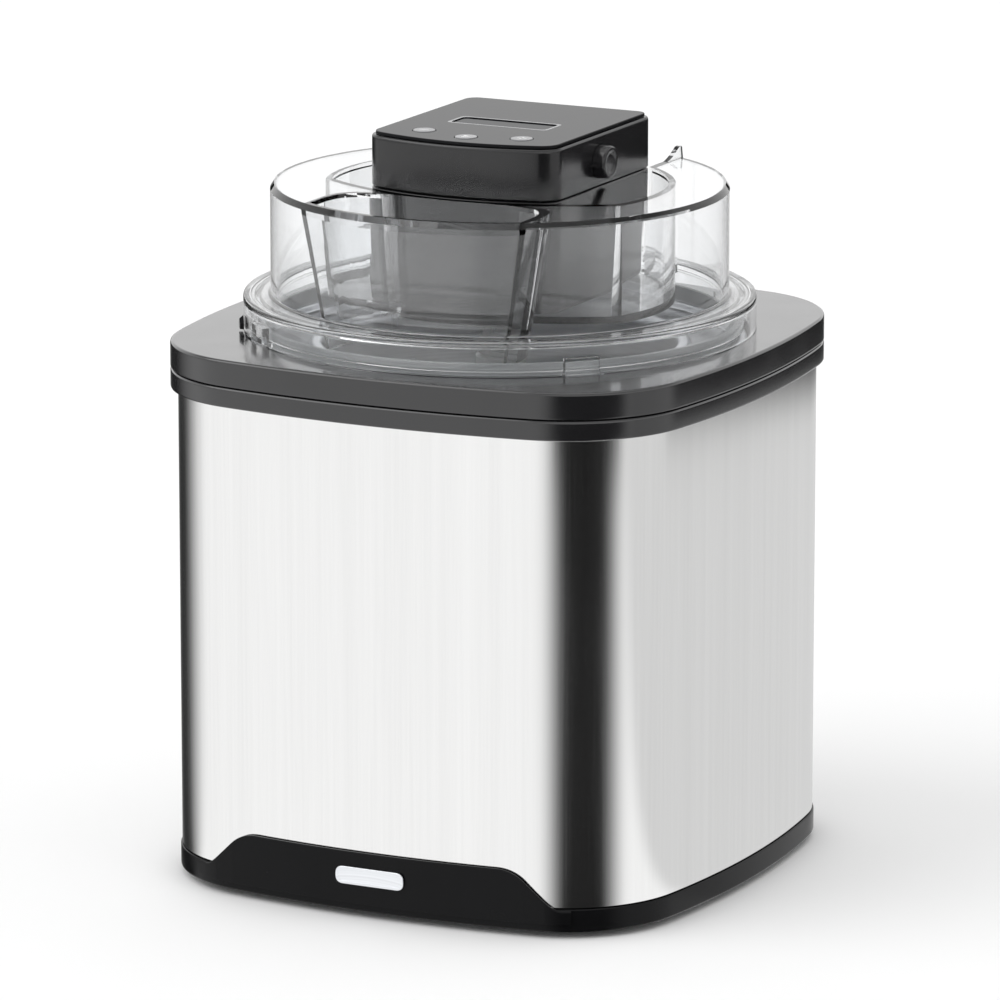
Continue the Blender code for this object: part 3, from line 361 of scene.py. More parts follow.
def square(offset, height, turn=angles(FINE)):
    """The housing's rounded square, moved outward by offset."""
    return around(np.array([square_radius(a, offset) for a in turn]), turn, height)


def circle(radius, height, count=FINE, centre=(0.0, 0.0)):
    return around(radius, angles(count), height, centre)


def lobed(radius, depth, height, lobes):
    """A splined or polygonal section: the radius dips by depth between its corners."""
    turn = angles(SMALL * 2, 0.0)
    return around(radius - depth * np.abs(np.sin(turn * lobes / 2)), turn, height)


def curve(points, radii, closed=True, steps=4):
    """Round the corners of a flat outline, each by at most its radius."""
    return eased([np.asarray(p, float) for p in points], radii, closed, steps)


def eased(loops, radii, closed, steps):
    """Round the bends in a run of points or loops, as a fillet on each point's own path."""
    made = []
    for i, loop in enumerate(loops):
        r = radii[i] if isinstance(radii, (list, tuple)) else radii
        if r <= 0 or (not closed and i in (0, len(loops) - 1)):
            made.append(loop)
            continue
        before, after = loops[i - 1] - loop, loops[(i + 1) % len(loops)] - loop
        ends = []
        for way in (before, after):
            size = np.linalg.norm(way, axis=-1, keepdims=True)
            ends.append(loop + way / np.maximum(size, 1e-9) * np.minimum(r, 0.45 * size))
        for step in range(steps + 1):
            t = step / steps
            made.append((1 - t) ** 2 * ends[0] + 2 * t * (1 - t) * loop + t * t * ends[1])
    return made


# Pieces


@contextmanager
def edited(mesh):
    """Open a mesh in bmesh and write the changes back."""
    work = bmesh.new()
    work.from_mesh(mesh)
    yield work
    work.to_mesh(mesh)
    work.free()


def in_scene(name, data):
    obj = bpy.data.objects.new(name, data)
    bpy.context.scene.collection.objects.link(obj)
    return obj


def mesh_object(name, points, faces):
    mesh = bpy.data.meshes.new(name)
    mesh.from_pydata([Vector(p) * MM for p in points], [], faces)
    with edited(mesh) as work:
        bmesh.ops.recalc_face_normals(work, faces=work.faces)
    return in_scene(name, mesh)


def loft(name, loops, closed=False, ease=0.0, steps=3):
    """Join a run of loops into one solid, with eased edges."""
    loops = eased([np.asarray(loop, float) for loop in loops], ease, closed, steps)
    count = len(loops[0])
    points = np.concatenate(loops)
    faces = []
    for row in range(len(loops) if closed else len(loops) - 1):
        this, after = row * count, (row + 1) % len(loops) * count
        for i in range(count):
            j = (i + 1) % count
            faces.append((this + i, this + j, after + j, after + i))
    if not closed:
        faces.append(tuple(range(count))[::-1])
        faces.append(tuple(range(len(points) - count, len(points))))
    return mesh_object(name, points, faces)


def lathe(name, profile, ease=0.0, closed=False, count=FINE, centre=(0.0, 0.0), steps=3):
    """A loft of circles, from a profile of (radius, height)."""
    return loft(name, [circle(r, z, count, centre) for r, z in profile], closed, ease, steps)


def pin(name, profile, centre=(0.0, 0.0), ease=0.0, steps=3, count=SMALL):
    """A small lathe with ends, for bosses, stems and round holes."""
    return lathe(name, profile, ease, False, count, centre, steps)


def plate(name, outline, low, high, plane="XZ", ease=0.0):
    """An outline given thickness: in plane XZ from one Y to another, or in XY or YZ likewise."""
    across = {"XZ": [0, 2, 1], "XY": [0, 1, 2], "YZ": [1, 2, 0]}[plane]

    def layer(flat, depth):
        loop = np.empty((len(flat), 3))
        loop[:, across] = [(u, v, depth) for u, v in flat]
        return loop

    if ease <= 0:
        return loft(name, [layer(outline, low), layer(outline, high)])
    shrunk = inset_outline(outline, ease)
    step = math.copysign(ease, high - low)
    loops = [layer(shrunk, low), layer(outline, low + step), layer(outline, high - step), layer(shrunk, high)]
    return loft(name, loops, ease=[0, ease * 0.6, ease * 0.6, 0], steps=2)


def inset_outline(outline, distance):
    """Move an outline inward by a small distance, corner by corner."""
    points = np.asarray(outline, float)
    following = np.roll(points, -1, 0)
    side = np.sign(np.sum(points[:, 0] * following[:, 1] - following[:, 0] * points[:, 1]))
    after = following - points
    after /= np.maximum(np.linalg.norm(after, axis=1, keepdims=True), 1e-9)
    both = after + np.roll(after, 1, 0)
    normal = np.stack([-both[:, 1], both[:, 0]], 1) * side
    size = np.linalg.norm(normal, axis=1, keepdims=True)
    return points + normal / np.maximum(size, 1e-9) * distance / np.maximum(size / 2, 0.35)


def rectangle(low_u, low_v, high_u, high_v):
    return [(low_u, low_v), (high_u, low_v), (high_u, high_v), (low_u, high_v)]


def box(name, low, high):
    return plate(name, rectangle(*low[:2], *high[:2]), low[2], high[2], "XY")


def rod(name, start, end, radius, count=SMALL):
    start, end = Vector(start), Vector(end)
    spin = (end - start).to_track_quat("Z", "Y")
    ring = [Vector((radius * math.cos(a), radius * math.sin(a), 0)) for a in angles(count, 0.0)]
    return loft(name, [[tuple(place + spin @ p) for p in ring] for place in (start, end)])


def merged(name, objects):
    """Put several solids in one mesh."""
    mesh = bpy.data.meshes.new(name)
    with edited(mesh) as work:
        for obj in objects:
            work.from_mesh(obj.data)
            bpy.data.objects.remove(obj)
    return in_scene(name, mesh)


def turned_copies(name, piece, turns):
    """Copies of a piece turned round the machine's axis, in one mesh. The piece itself goes."""
    copies = []
    for number, angle in enumerate(turns):
        copy = in_scene(f"{name}_{number}", piece.data.copy())
        copy.data.transform(Matrix.Rotation(angle, 4, "Z"))
        copies.append(copy)
    bpy.data.objects.remove(piece)
    return merged(name, copies)


def triangulated(obj):
    with edited(obj.data) as work:
        bmesh.ops.triangulate(work, faces=work.faces)
    return obj


def apply_modifiers(obj):
    graph = bpy.context.evaluated_depsgraph_get()
    made = bpy.data.meshes.new_from_object(obj.evaluated_get(graph))
    obj.modifiers.clear()
    old = obj.data
    obj.data = made
    bpy.data.meshes.remove(old)


def combine(obj, operation, *tools):
    """Boolean with each tool in turn; the result is applied and the tools are removed."""
    for tool in tools:
        step = obj.modifiers.new("combine", "BOOLEAN")
        step.operation, step.solver, step.object = operation, "EXACT", tool
        apply_modifiers(obj)
        bpy.data.objects.remove(tool)
    return obj


def cut(obj, *tools):
    return combine(obj, "DIFFERENCE", *tools)


def join(obj, *tools):
    return combine(obj, "UNION", *tools)


def bevel(obj, width, angle):
    """Round the edges sharper than the angle, in degrees."""
    step = obj.modifiers.new("bevel", "BEVEL")
    step.width, step.segments, step.limit_method = width * MM, 2, "ANGLE"
    step.angle_limit = math.radians(angle)
    apply_modifiers(obj)
    return obj


def show(obj, node=None, finish=None, body=None, smooth=38.0):
    """Paint a piece, shade it, and hang it on its CAD body.

    It stands for a node, and takes its slot's finish unless another is named, or it only rides on a body.
    """
    with edited(obj.data) as work:
        bmesh.ops.remove_doubles(work, verts=work.verts, dist=1e-7)
        bmesh.ops.recalc_face_normals(work, faces=work.faces)
    obj.data.materials.clear()
    obj.data.materials.append(FINISH[finish or SLOT_OF[node]])
    obj.data.shade_smooth()
    obj.data.set_sharp_from_angle(angle=math.radians(smooth))
    obj.modifiers.new("weigh", "WEIGHTED_NORMAL").keep_sharp = True
    apply_modifiers(obj)
    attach(obj, body or BODY_OF[node])
    if node:
        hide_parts(node)


# Housing


def build_sleeve():
    low, high = bottom("housing_sleeve"), top("housing_sleeve")
    sheet, seam_depth = 1.2, 0.7
    seam = math.pi / 2  # where the sheet's ends meet, at the back
    slit = np.array([-1.4, -0.5, 0.5, 1.4]) / (ACROSS_FLATS / 2)
    turn = np.sort(np.concatenate([angles(FINE), seam + slit]))
    dip = np.where(np.abs(turn - seam) < slit[2] * 1.5, seam_depth, 0.0)
    loops = []
    for offset, height in ((0.0, low), (0.0, high), (-sheet, high), (-sheet, low)):
        flat = square(offset, height, turn)
        inward = dip[:, None] * np.stack([np.cos(turn), np.sin(turn), 0 * turn], 1)
        loops.append(flat - (inward if offset == 0.0 else 0.0))
    show(loft("sleeve", loops, True, 0.3), "housing_sleeve")


def notches(inner, outer, floor):
    """A cutter for the bayonet notches at an opening's four diagonals."""
    outline = curve(rectangle(inner, -NOTCH_HALF, outer, NOTCH_HALF), [0, 1.6, 1.6, 0])
    return turned_copies("notches", plate("notch", outline, floor, floor + 12, "XY"), DIAGONALS)


def skirted_frame(name, low, high, foot, inner, outer, ease):
    """A square frame with a round opening, and a skirt that hangs down to foot."""
    loops = [square(RIM_OVERHANG, z) for z in (low, high)]
    loops += [circle(r, z) for r, z in ((inner, high), (inner, foot), (outer, foot), (outer, low))]
    return loft(name, loops, True, ease, 4)


def build_rim():
    high, inner = top("housing_rim"), OPENING_RADIUS
    ease = [0.9, 1.3, 0.9, 0.3, 0.3, 0.2]
    rim = skirted_frame("rim", 199.0, high, bottom("housing_rim"), inner, inner + 2.2, ease)
    cut(rim, notches(inner - 4, inner + 2.8, high - 4))
    show(rim, "housing_rim")


def build_liner():
    floor, shoulder, high = 63.7, 192.5, 194.7
    ribs, rib_half, rib_depth = 16, 2.0, 1.5
    turn = angles(FINE * 2)
    fold = np.abs((turn / (2 * math.pi) * ribs) % 1.0 - 0.5) * 2 * math.pi * LINER_RADIUS / ribs
    inside = LINER_RADIUS - rib_depth * np.clip((rib_half - fold) / 0.6, 0.0, 1.0)
    outside, flange = LINER_RADIUS + 2, LINER_RADIUS + 3.5
    profile = [
        (LINER_RADIUS - 3, floor - 2.2), (outside, floor + 3), (outside, shoulder), (flange, shoulder),
        (flange, high), (inside, high), (inside, floor + 4.5), (LINER_RADIUS - 4.5, floor),
    ]
    loops = [around(r, turn, z) for r, z in profile]
    liner = loft("liner", loops, ease=[0, 1, 0.3, 0.3, 0.3, 0.6, 2.5, 2.0])
    rings = []
    for r in (30.0, 88.0):
        profile = [(r, floor - 0.5), (r, floor + 0.25), (r + 1.2, floor + 0.25), (r + 1.2, floor - 0.5)]
        rings.append(lathe(f"ring_{r}", profile, 0.1, True))
    join(liner, merged("rings", rings))
    post = [(4.5, 7.1), (6.0, floor - 1.0)]
    join(liner, merged("posts", [pin(f"post_{place}", post, place) for place in SCREW_PLACES]))
    show(liner, "housing_liner")


def build_base():
    low, high, lip = bottom("base_tray"), 11.9, 16.9
    inside = 6.8
    profile = [(0.1, low), (0.6, low + 0.6), (0.6, high), (-1.6, high), (-1.6, lip), (-3.8, lip), (-3.8, inside)]
    tray = loft("base", [square(offset, z) for offset, z in profile], ease=[0, 0.5, 0.5, 0, 0.5, 0.5, 0])
    join(tray, front_panel(high))
    screw_hole = [(4.1, 1.0), (4.1, 5.0), (1.9, 5.0), (1.9, 9.0)]
    cut(tray, merged("holes", [pin(f"hole_{place}", screw_hole, place) for place in SCREW_PLACES]))
    show(tray, "base_tray", "base_plastic")


def front_panel(ledge):
    """The raised panel on the base, wrapped round the housing's front."""
    foot, high, proud, pitch = 6.0, 27.0, 1.6, 6
    half = [(60, high), (73, ledge - 0.3), (78, ledge - 0.3)]
    outline = [(-u, v) for u, v in half[::-1]] + half
    outline = curve(outline, [0, 5.0, 6.0, 6.0, 5.0, 0], closed=False, steps=8)
    columns = []
    for (u, v), (next_u, _) in zip(outline, outline[1:] + outline[-1:]):
        columns.append((u, v))
        for extra in range(1, int(abs(next_u - u) // pitch) + 1):
            columns.append((u + (next_u - u) * extra * pitch / abs(next_u - u), v))
    loops = []
    for u, v in columns:
        angle = -math.pi / 2 + math.asin(u / 125)
        section = [(-0.5, foot), (proud, foot), (proud, v), (-0.5 if v < ledge + 1 else 0.8, v)]
        loop = []
        for offset, z in curve(section, [0, 0.1, 0.9, 0.0], steps=3):
            radius = square_radius(angle, offset)
            loop.append((radius * math.cos(angle), radius * math.sin(angle), z))
        loops.append(loop)
    return loft("front_panel", loops)


def build_badge():
    """A blank plate with a sunk field."""
    low, high = (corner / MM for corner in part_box("badge_plate"))
    half_x, half_z, middle = high.x, (high.z - low.z) / 2, (high.z + low.z) / 2

    def rounded(edge, radius):
        u, v = half_x - edge, half_z - edge
        return [(x, z + middle) for x, z in curve(rectangle(-u, -v, u, v), radius, steps=6)]

    badge = plate("badge", rounded(0.0, 3.4), low.y, high.y, ease=0.2)
    sunk = plate("badge_field", rounded(1.2, 2.4), low.y - 1, low.y + 0.15)
    show(cut(badge, sunk), "badge_plate")


def build_ring():
    low, high, skirt = 207.3, top("locking_ring"), bottom("locking_ring")
    ease = [0.8, 1.4, 1.0, 0.4, 0.4, 0.5]
    ring = skirted_frame("ring", low, high, skirt, RING_OPENING, SKIRT_RADIUS, ease)
    cut(ring, notches(RING_OPENING - 4, RING_OPENING + 2.9, high - 3.5))
    inner, outer = SKIRT_RADIUS - 5, SKIRT_RADIUS + 3
    slit = box("slit", (inner, -0.45, skirt - 2), (outer, 0.45, low - 2))
    window = box("window", (inner, -3, skirt + 6), (outer, 3, low - 2.5))
    seams = [math.radians(angle) for angle in (-90, -35, 35, 90, 145, 215)]
    cut(ring, turned_copies("slits", slit, seams))
    cut(ring, turned_copies("windows", window, [0.0, math.pi]))
    show(ring, "locking_ring")


# Bowl


def build_bowl():
    low = bottom("bowl_shell")
    high = top("bowl_shell") - low
    outside = [(60, 1.5), (62, 0.0), (80, 0.0), (88.6, 1.2), (90.2, 11.0), (95, high)]
    inside = [(93, high), (88.2, 11.6), (85.6, 4.8), (79, 3.0)]
    profile = [(radius, low + above) for radius, above in outside + inside]
    shell = lathe("bowl_outer", profile, [0, 0.8, 3.0, 8.0, 5.0, 0.4, 0.4, 3.0, 3.0, 0], steps=6)
    cut(shell, pin("filler_hole", [(5.3, 60), (5.3, 80)]))
    show(shell, "bowl_shell")

    rim, radius = top("bowl_inner"), reach("bowl_inner")
    profile = [
        (56, 94.4), (65, 97.0), (70.4, 104.0), (72.6, 206), (74.4, 210.4), (97.4, 210.2), (radius, 211.0),
        (radius, rim), (94.7, rim), (94.4, 212.0), (75.9, 212.0), (74.9, 213.7), (71.4, 213.7), (70.6, 211.0),
        (68.8, 105), (64.0, 98.6), (56, 96.0),
    ]
    ease = [0, 3, 3, 2, 2, 1.2, 1.6, 1.9, 1.9, 1.4, 1.6, 1.4, 1.4, 1.6, 5, 4, 0]
    show(lathe("bowl_liner", profile, ease, steps=5), "bowl_inner")


# Paddle and shaft


def build_paddle():
    half = reach("paddle")
    low, high = bottom("paddle") + 1.8, 189.0
    left_in, right_in = -44.0, half - 10.0
    # Left scraper: a bent sheet, its outer strip turned forward.
    left = [(-66.4, -0.8), (-66.0, -3.4), (-60.6, -4.9), (left_in, -0.8), (left_in, 2.4), (-60.4, -1.6)]
    right = curve(rectangle(right_in, -3.2, half, 3.2), 2.4)
    flange = curve(rectangle(-half + 0.5, -7.0, half - 0.5, 7.0), 3.5)
    top_web = curve(rectangle(-half + 3, high - 7, half - 2, high - 1), 0.6)
    # Foot flange under the left half, sloping down to the middle, with its web.
    run = [(-half, 109.5), (-half + 5, 105.8), (-9.0, low + 0.3), (4.0, low + 0.3)]
    run += [(x, z + 3.0) for x, z in run[::-1]]
    foot_web = [
        (-half + 7, 108.0), (-9.0, low + 3), (4.0, low + 3), (4.0, low + 9), (-9.0, low + 8), (-half + 8, 114.0),
    ]
    body = plate("left_bar", curve(left, 0.9), low + 9.0, high - 4.0, "XY")
    join(
        body,
        plate("right_bar", right, low + 13.0, high - 3.0, "XY"),
        plate("top_flange", flange, high - 2.2, high, "XY"),
        plate("top_web", top_web, -2.0, 2.0),
        plate("foot_flange", run, -4.4, 4.4),
        plate("foot_web", foot_web, -1.8, 1.8),
    )

    # Lower blade with its rounded corner, leaning back.
    blade = [(1.0, low), (half - 12.0, low), (half, low + 12.0), (half, 118.0), (1.0, 117.0)]
    blade = curve(blade, [0.5, 9.0, 9.0, 0.6, 0.6], steps=6)
    lean, back = 0.20, -4.0
    sides = [[(x, back + thick + (z - low) * lean, z) for x, z in blade] for thick in (-1.7, 1.7)]
    hub = [(7.0, 158.0), (8.4, 161.0), (8.4, 198.9), (7.6, 200.5)]
    join(body, loft("lower_blade", sides), pin("pivot_boss", [(6.0, low), (6.0, 110.0)]))
    join(body, pin("hub", hub, ease=[0, 2.5, 1.2, 0], steps=4), arch())
    join(body, box("under_nib", (-24, -2.4, 96.9), (-18, 2.4, 103)))
    cut(body, loft("bore", [lobed(5.6, 0.75, z, 6) for z in (175.5, 203.5)]))
    cut(body, pin("socket", [(3.3, 95.0), (3.3, 106.0)]), merged("drains", drain_holes(low)))
    bevel(body, 0.45, 50)
    show(body, "paddle", smooth=50)


def drain_holes(low):
    """Cutters for three staggered rows of holes through the lower blade."""
    radius, pitch, reach_out = 1.7, 9.0, 15
    holes = []
    for above, first, count in ((4.6, 14.0, 5), (10.4, 9.5, 6), (16.0, 14.0, 5)):
        for number in range(count):
            x, z = first + pitch * number, low + above
            holes.append(rod(f"drain_{above}_{number}", (x, -reach_out, z), (x, reach_out, z), radius, 16))
    return holes


def arch():
    """The scoop: leaves the left bar lying flat and turns on edge as it drops to the middle."""
    loops = []
    steps, fullness = 28, 0.72  # a fullness of 1 would make it a quarter of an ellipse
    for step in range(steps + 1):
        share = step / steps
        angle = math.pi / 2 * share
        run, drop = math.sin(angle) ** fullness, 1 - max(math.cos(angle), 0.0) ** fullness
        middle = Vector((-58.0 + 45.0 * run, 0.0, 154.0 - 48.0 * drop))
        turned_in = math.sin(angle)
        across = Vector((turned_in**2, 1.0 - 0.55 * turned_in, 0.25 * math.cos(angle))).normalized()
        along = Vector((math.cos(angle), 0.0, -math.sin(angle)))
        thick = along.cross(across).normalized()
        half = 6.5 + 5.5 * share
        section = curve([(half, 1.7), (-half, 1.7), (-half, -1.7), (half, -1.7)], 1.5, steps=3)
        loops.append([tuple(middle + across * u + thick * v) for u, v in section])
    return loft("scoop", loops)


def build_shaft():
    low, high = bottom("drive_shaft"), top("drive_shaft")
    foot, collar, head = 200.8, 208.0, high - 10  # tops of the six-sided foot, the bush and the cone
    # (radius, depth between lobes, height, lobes), from the six-sided foot up to the splined head
    rows = [
        (4.7, 0.6, low, 6), (5.3, 0.7, low + 1, 6), (5.3, 0.7, foot, 6), (5.7, 0, foot + 0.1, 8),
        (5.7, 0, collar + 0.3, 8), (8.2, 0, collar + 0.4, 8), (7.7, 0, collar + 4, 8), (6.1, 0, collar + 10, 8),
        (5.5, 0, collar + 18, 8), (5.2, 0, head, 8), (4.7, 0.9, head + 0.5, 8), (4.7, 0.9, high - 0.8, 8),
        (4.1, 0.6, high, 8),
    ]
    ease = [0, 0.4, 0.1, 0.1, 0.1, 0.8, 3, 4, 4, 0.4, 0.3, 0.5, 0]
    show(loft("shaft", [lobed(*row) for row in rows], ease=ease, steps=4), "drive_shaft", smooth=30)

    low, inner, outer = 201.2, 6.0, 10.3
    bush = lathe("bush", rectangle(inner, low, outer, collar), [0.3, 0.9, 0.9, 0.3], True, 96, steps=4)
    arm = [(8.9, 1.0), (10.1, 1.0), (10.4, -7.2), (9.6, -10.7), (8.9, -9.7), (8.9, -7.2)]
    arms = []
    for side in (-1, 1):
        outline = [(side * x, low + up) for x, up in arm]
        arms.append(plate(f"arm_{side}", outline, -3.2, 3.2, ease=0.4))
    join(bush, merged("arms", arms))
    show(bush, "shaft_bush")


# Lid


def pocket_outline(radius, front, height):
    """The motor unit's pocket: round, with a front wall that follows the unit's bulged front."""
    arc = (UNIT_HALF**2 + UNIT_BULGE**2) / (2 * UNIT_BULGE)
    middle = front + arc
    meet = (arc**2 - middle**2 - radius**2) / (-2 * middle)
    across = math.sqrt(radius**2 - meet**2)
    corner = math.atan2(meet, across)
    turn = np.linspace(corner, math.pi - corner, 121)
    loop = [(radius * math.cos(a), radius * math.sin(a), height) for a in turn]
    front_wall = np.linspace(-across, across, 41)[1:-1]
    return loop + [(x, middle - math.sqrt(arc**2 - x**2), height) for x in front_wall]


def chute_outline(half_angle, grow, front_radius, back, height):
    """The filling chute's plan: an arc under the drum's wall, and a back edge along the pocket."""
    angle = half_angle + grow / DRUM_RADIUS
    turn = np.linspace(-math.pi / 2 - angle, -math.pi / 2 + angle, 33)
    front = [(front_radius * math.cos(a), front_radius * math.sin(a)) for a in turn]
    side = front_radius * math.sin(angle)
    inner = side - 2.0
    corner = curve([(side, back - 16), (side - 1.5, back - 7), (inner - 5, back - 1.5)], [0, 6, 0], False, 6)
    behind = []
    for x in (inner - 10) * (1 - np.linspace(1, 7, 25) / 4):
        behind.append((x, back + UNIT_BULGE * (x / UNIT_HALF) ** 2 * 0.5))
    far_corner = [(-x, y) for x, y in corner[::-1]]
    return [(x, y, height) for x, y in front + corner + behind + far_corner]


def build_lid():
    low, floor, high = 218.3, 231.8, 276.3
    flange, drum, wall = FLANGE_RADIUS, DRUM_RADIUS, LID_WALL
    profile = [(flange, low), (flange, floor), (drum, floor), (drum, high)]
    shell = lathe("lid_clear", profile, [0, 1.6, 1.2, 0], False, CLEAR, steps=5)
    profile = [(drum - 2.2, high + 1), (drum + 3, high + 1), (drum + 3, high - 2.4), (drum + 0.02, high - 2.4)]
    cut(shell, lathe("crown_ease", profile, 0, True, CLEAR))
    cut(shell, lid_hollow(low, floor, high))
    front, over = UNIT_FRONT - UNIT_BULGE - 0.6, high + 6
    pocket = [pocket_outline(POCKET_RADIUS - 1.5, front, floor), pocket_outline(POCKET_RADIUS, front, over)]
    cut(shell, triangulated(loft("pocket_space", pocket)))
    cut(shell, box("rear_space", (-REAR_GAP_HALF, 38, floor + 0.4), (REAR_GAP_HALF, 130, over)))
    back = front - wall - 0.8
    chute = [
        chute_outline(CHUTE_FOOT_ANGLE, 0, CHUTE_FOOT_RADIUS, back, low - 9),
        chute_outline(CHUTE_TOP_ANGLE, 0, drum - wall - 0.5, back, over),
    ]
    cut(shell, triangulated(loft("chute_space", chute)))
    join(shell, pin("lid_boss", [(9.0, 224.0), (9.0, floor - 1)]))
    cut(shell, pin("spindle_hole", [(6.3, 205.0), (6.3, 240.0)]))
    cut(shell, loft("tongue_slot", [tongue_outline(0.7, z) for z in (225.0, 240.0)]))
    lug = box("lug", (95.9, -7.0, low - 1.9), (101.6, 7.0, low + 6.0))
    join(shell, turned_copies("lugs", lug, DIAGONALS))
    fin = [(62, high - 1), (81.5, high - 1), (80.5, high + 4.6), (78, high + 4.6), (71, high + 0.9)]
    fin = curve(fin, [0, 0, 0.8, 1.6, 6.0])
    fins = []
    for side in (-1, 1):
        x = side * (REAR_GAP_HALF + wall / 2)
        fins.append(plate(f"fin_{side}", fin, x - 1.0, x + 1.0, "YZ"))
    join(shell, merged("fins", fins))
    bevel(shell, 0.35, 42)
    show(shell, "lid", smooth=32)


def lid_hollow(low, floor, high):
    """The space under the lid's skin, less the walls round the pocket, the rear gap and the chute."""
    flange, drum, wall = FLANGE_RADIUS - LID_WALL, DRUM_RADIUS - LID_WALL, LID_WALL
    rib_in, rib_out = 95.5, 97.5  # the rib that stands round the seal
    under, over = floor - wall - 0.2, high + 6
    profile = [
        (flange, low - 8), (flange, floor - wall), (rib_out, floor - wall), (rib_out, low + 0.8),
        (rib_in, low + 0.8), (rib_in, floor - wall), (drum, floor - wall), (drum, high - wall),
    ]
    hollow = lathe("lid_hollow", profile, [0, 1.2, 0.5, 0.4, 0.4, 0.5, 0.6, 0], False, CLEAR)
    front = UNIT_FRONT - UNIT_BULGE - 0.6
    pocket = [pocket_outline(POCKET_RADIUS + wall, front - wall, z) for z in (under, over)]
    cut(hollow, loft("pocket_block", pocket))
    cut(hollow, box("rear_block", (-REAR_GAP_HALF - wall, 40, under), (REAR_GAP_HALF + wall, 120, over)))
    chute = [
        chute_outline(CHUTE_FOOT_ANGLE, wall, CHUTE_FOOT_RADIUS + wall, front + 1, low + 0.3),
        chute_outline(CHUTE_TOP_ANGLE, wall, DRUM_RADIUS - 1, front + 1, over),
    ]
    return cut(hollow, triangulated(loft("chute_block", chute)))


def build_seal():
    low, high = bottom("lid_seal"), top("lid_seal")
    middle = (low + high) / 2
    inner, outer = 93.2, 95.2
    profile = [
        (inner, low), (outer, low), (outer, middle), (outer + 0.4, middle + 0.6), (outer, middle + 1.2),
        (outer, high), (inner, high),
    ]
    show(lathe("seal", profile, 0.3, True), "lid_seal")


# Motor unit


def unit_outline(inset, height):
    """The motor unit's plan: flat back and sides, and a front that bulges."""
    half = UNIT_HALF - inset
    front, back = UNIT_FRONT + inset, UNIT_BACK - inset
    radius = max(UNIT_CORNER - inset, 1.5)
    places = [(half, back, 0), (-half, back, 90), (-half, front, 180), (half, front, 270)]
    loop = []
    for x, y, first in places:
        centre = x - math.copysign(radius, x), y - math.copysign(radius, y - (front + back) / 2)
        for step in range(11):
            angle = math.radians(first + step * 9)
            loop.append((centre[0] + radius * math.cos(angle), centre[1] + radius * math.sin(angle)))
        if first == 180:
            across = half - radius
            loop += [(across * (step / 20 - 1), front) for step in range(1, 40)]
    middle = (front + back) / 2
    return [(x, y - (UNIT_BULGE * (1 - (x / half) ** 2) if y < middle - 10 else 0), height) for x, y in loop]


def tongue_outline(grow, height):
    """The plan of the tongue under the unit's front, which drops into the lid's slot."""
    half = 24.5 + grow
    back, front = -27.0 + grow, UNIT_FRONT + 2.3 - grow
    loop = [(half, back, height), (-half, back, height)]
    for x in half * np.linspace(-1, 1, 33):
        loop.append((x, front - UNIT_BULGE * (1 - (x / UNIT_HALF) ** 2), height))
    return loop


def unit_loft(name, profile, ease):
    """A loft of the unit's plan, from a profile of (inset, height)."""
    return loft(name, [unit_outline(inset, z) for inset, z in profile], ease=ease, steps=4)


def build_unit():
    low, seam, high = 232.1, 276.8, top("motor_upper_cover")
    wall, groove = UNIT_WALL, 0.5  # the seam between the shells is a shallow groove
    profile = [
        (1.6, low), (0.8, low + 1.6), (0.0, seam - 0.6), (groove, seam - 0.2), (wall, seam - 0.2),
        (wall + 1.1, low + 2.8),
    ]
    lower = unit_loft("unit_lower", profile, [0, 1.2, 0.25, 0.1, 0.1, 0])
    tongue = ((0.6, low - 5.5), (0.0, low - 4.9), (0.0, low + 1.4))
    join(lower, loft("tongue", [tongue_outline(grow, z) for grow, z in tongue]))
    nib = [(RELEASE[0] + a, seam + b) for a, b in ((-4.0, -7.0), (-1.0, -7.0), (4.5, -1.4), (1.5, -1.4))]
    nib = curve(nib, 1.0)
    for side in (-1, 1):
        join(lower, plate(f"nib_{side}", nib, side * (UNIT_HALF - 1.4), side * (UNIT_HALF + 1.6), "YZ", 0.4))
    cut(lower, pin("spindle_hole", [(10.4, 225.0), (10.4, 240.0)]))
    cut(lower, rod("gland_hole", (0, 45, 243), (0, 62, 243), 5.3))
    show(lower, "motor_lower_housing", "unit_plastic")

    profile = [
        (wall, high - 2.2), (wall, seam + 0.2), (groove, seam + 0.2), (0.0, seam + 0.6), (0.0, high), (1.6, high),
    ]
    upper = unit_loft("unit_upper", profile, [0, 0.1, 0.1, 0.25, 1.6, 0])
    for side in (-1, 1):
        inner, outer = (side * 36, *RELEASE), (side * 52, *RELEASE)
        cut(upper, rod(f"release_hole_{side}", inner, outer, RELEASE_RADIUS + 0.3))
    cut(upper, key_holes(2.3, 24))
    cut(upper, plate("window", display_outline(0.0, 0.0), 290, 300, "XY"))
    show(upper, "motor_upper_cover", "unit_plastic")


def key_holes(radius, count=SMALL):
    profile = [(radius, 290), (radius, 305)]
    return merged("key_holes", [pin(key, profile, place, count=count) for key, place in KEYS.items()])


def build_panel():
    low, high = bottom("control_panel"), top("control_panel")
    panel = unit_loft("panel", [(1.5, low), (1.5, high), (2.4, high)], [0, 0.7, 0])
    cut(panel, key_holes(4.8))
    cut(panel, plate("display_hole", display_outline(1.0), 290, 305, "XY"))
    bevel(panel, 0.25, 45)
    show(panel, "control_panel")

    lens = plate("lens", display_outline(1.35), low, high - 0.35, "XY", 0.15)
    show(lens, "display_lens")
    line = plate("display_line", display_outline(-0.2), high - 0.3, high + 0.03, "XY")
    cut(line, plate("line_inside", display_outline(1.0), high - 1, high + 1, "XY"))
    show(line, finish="key_grey", body=BODY_OF["control_panel"])


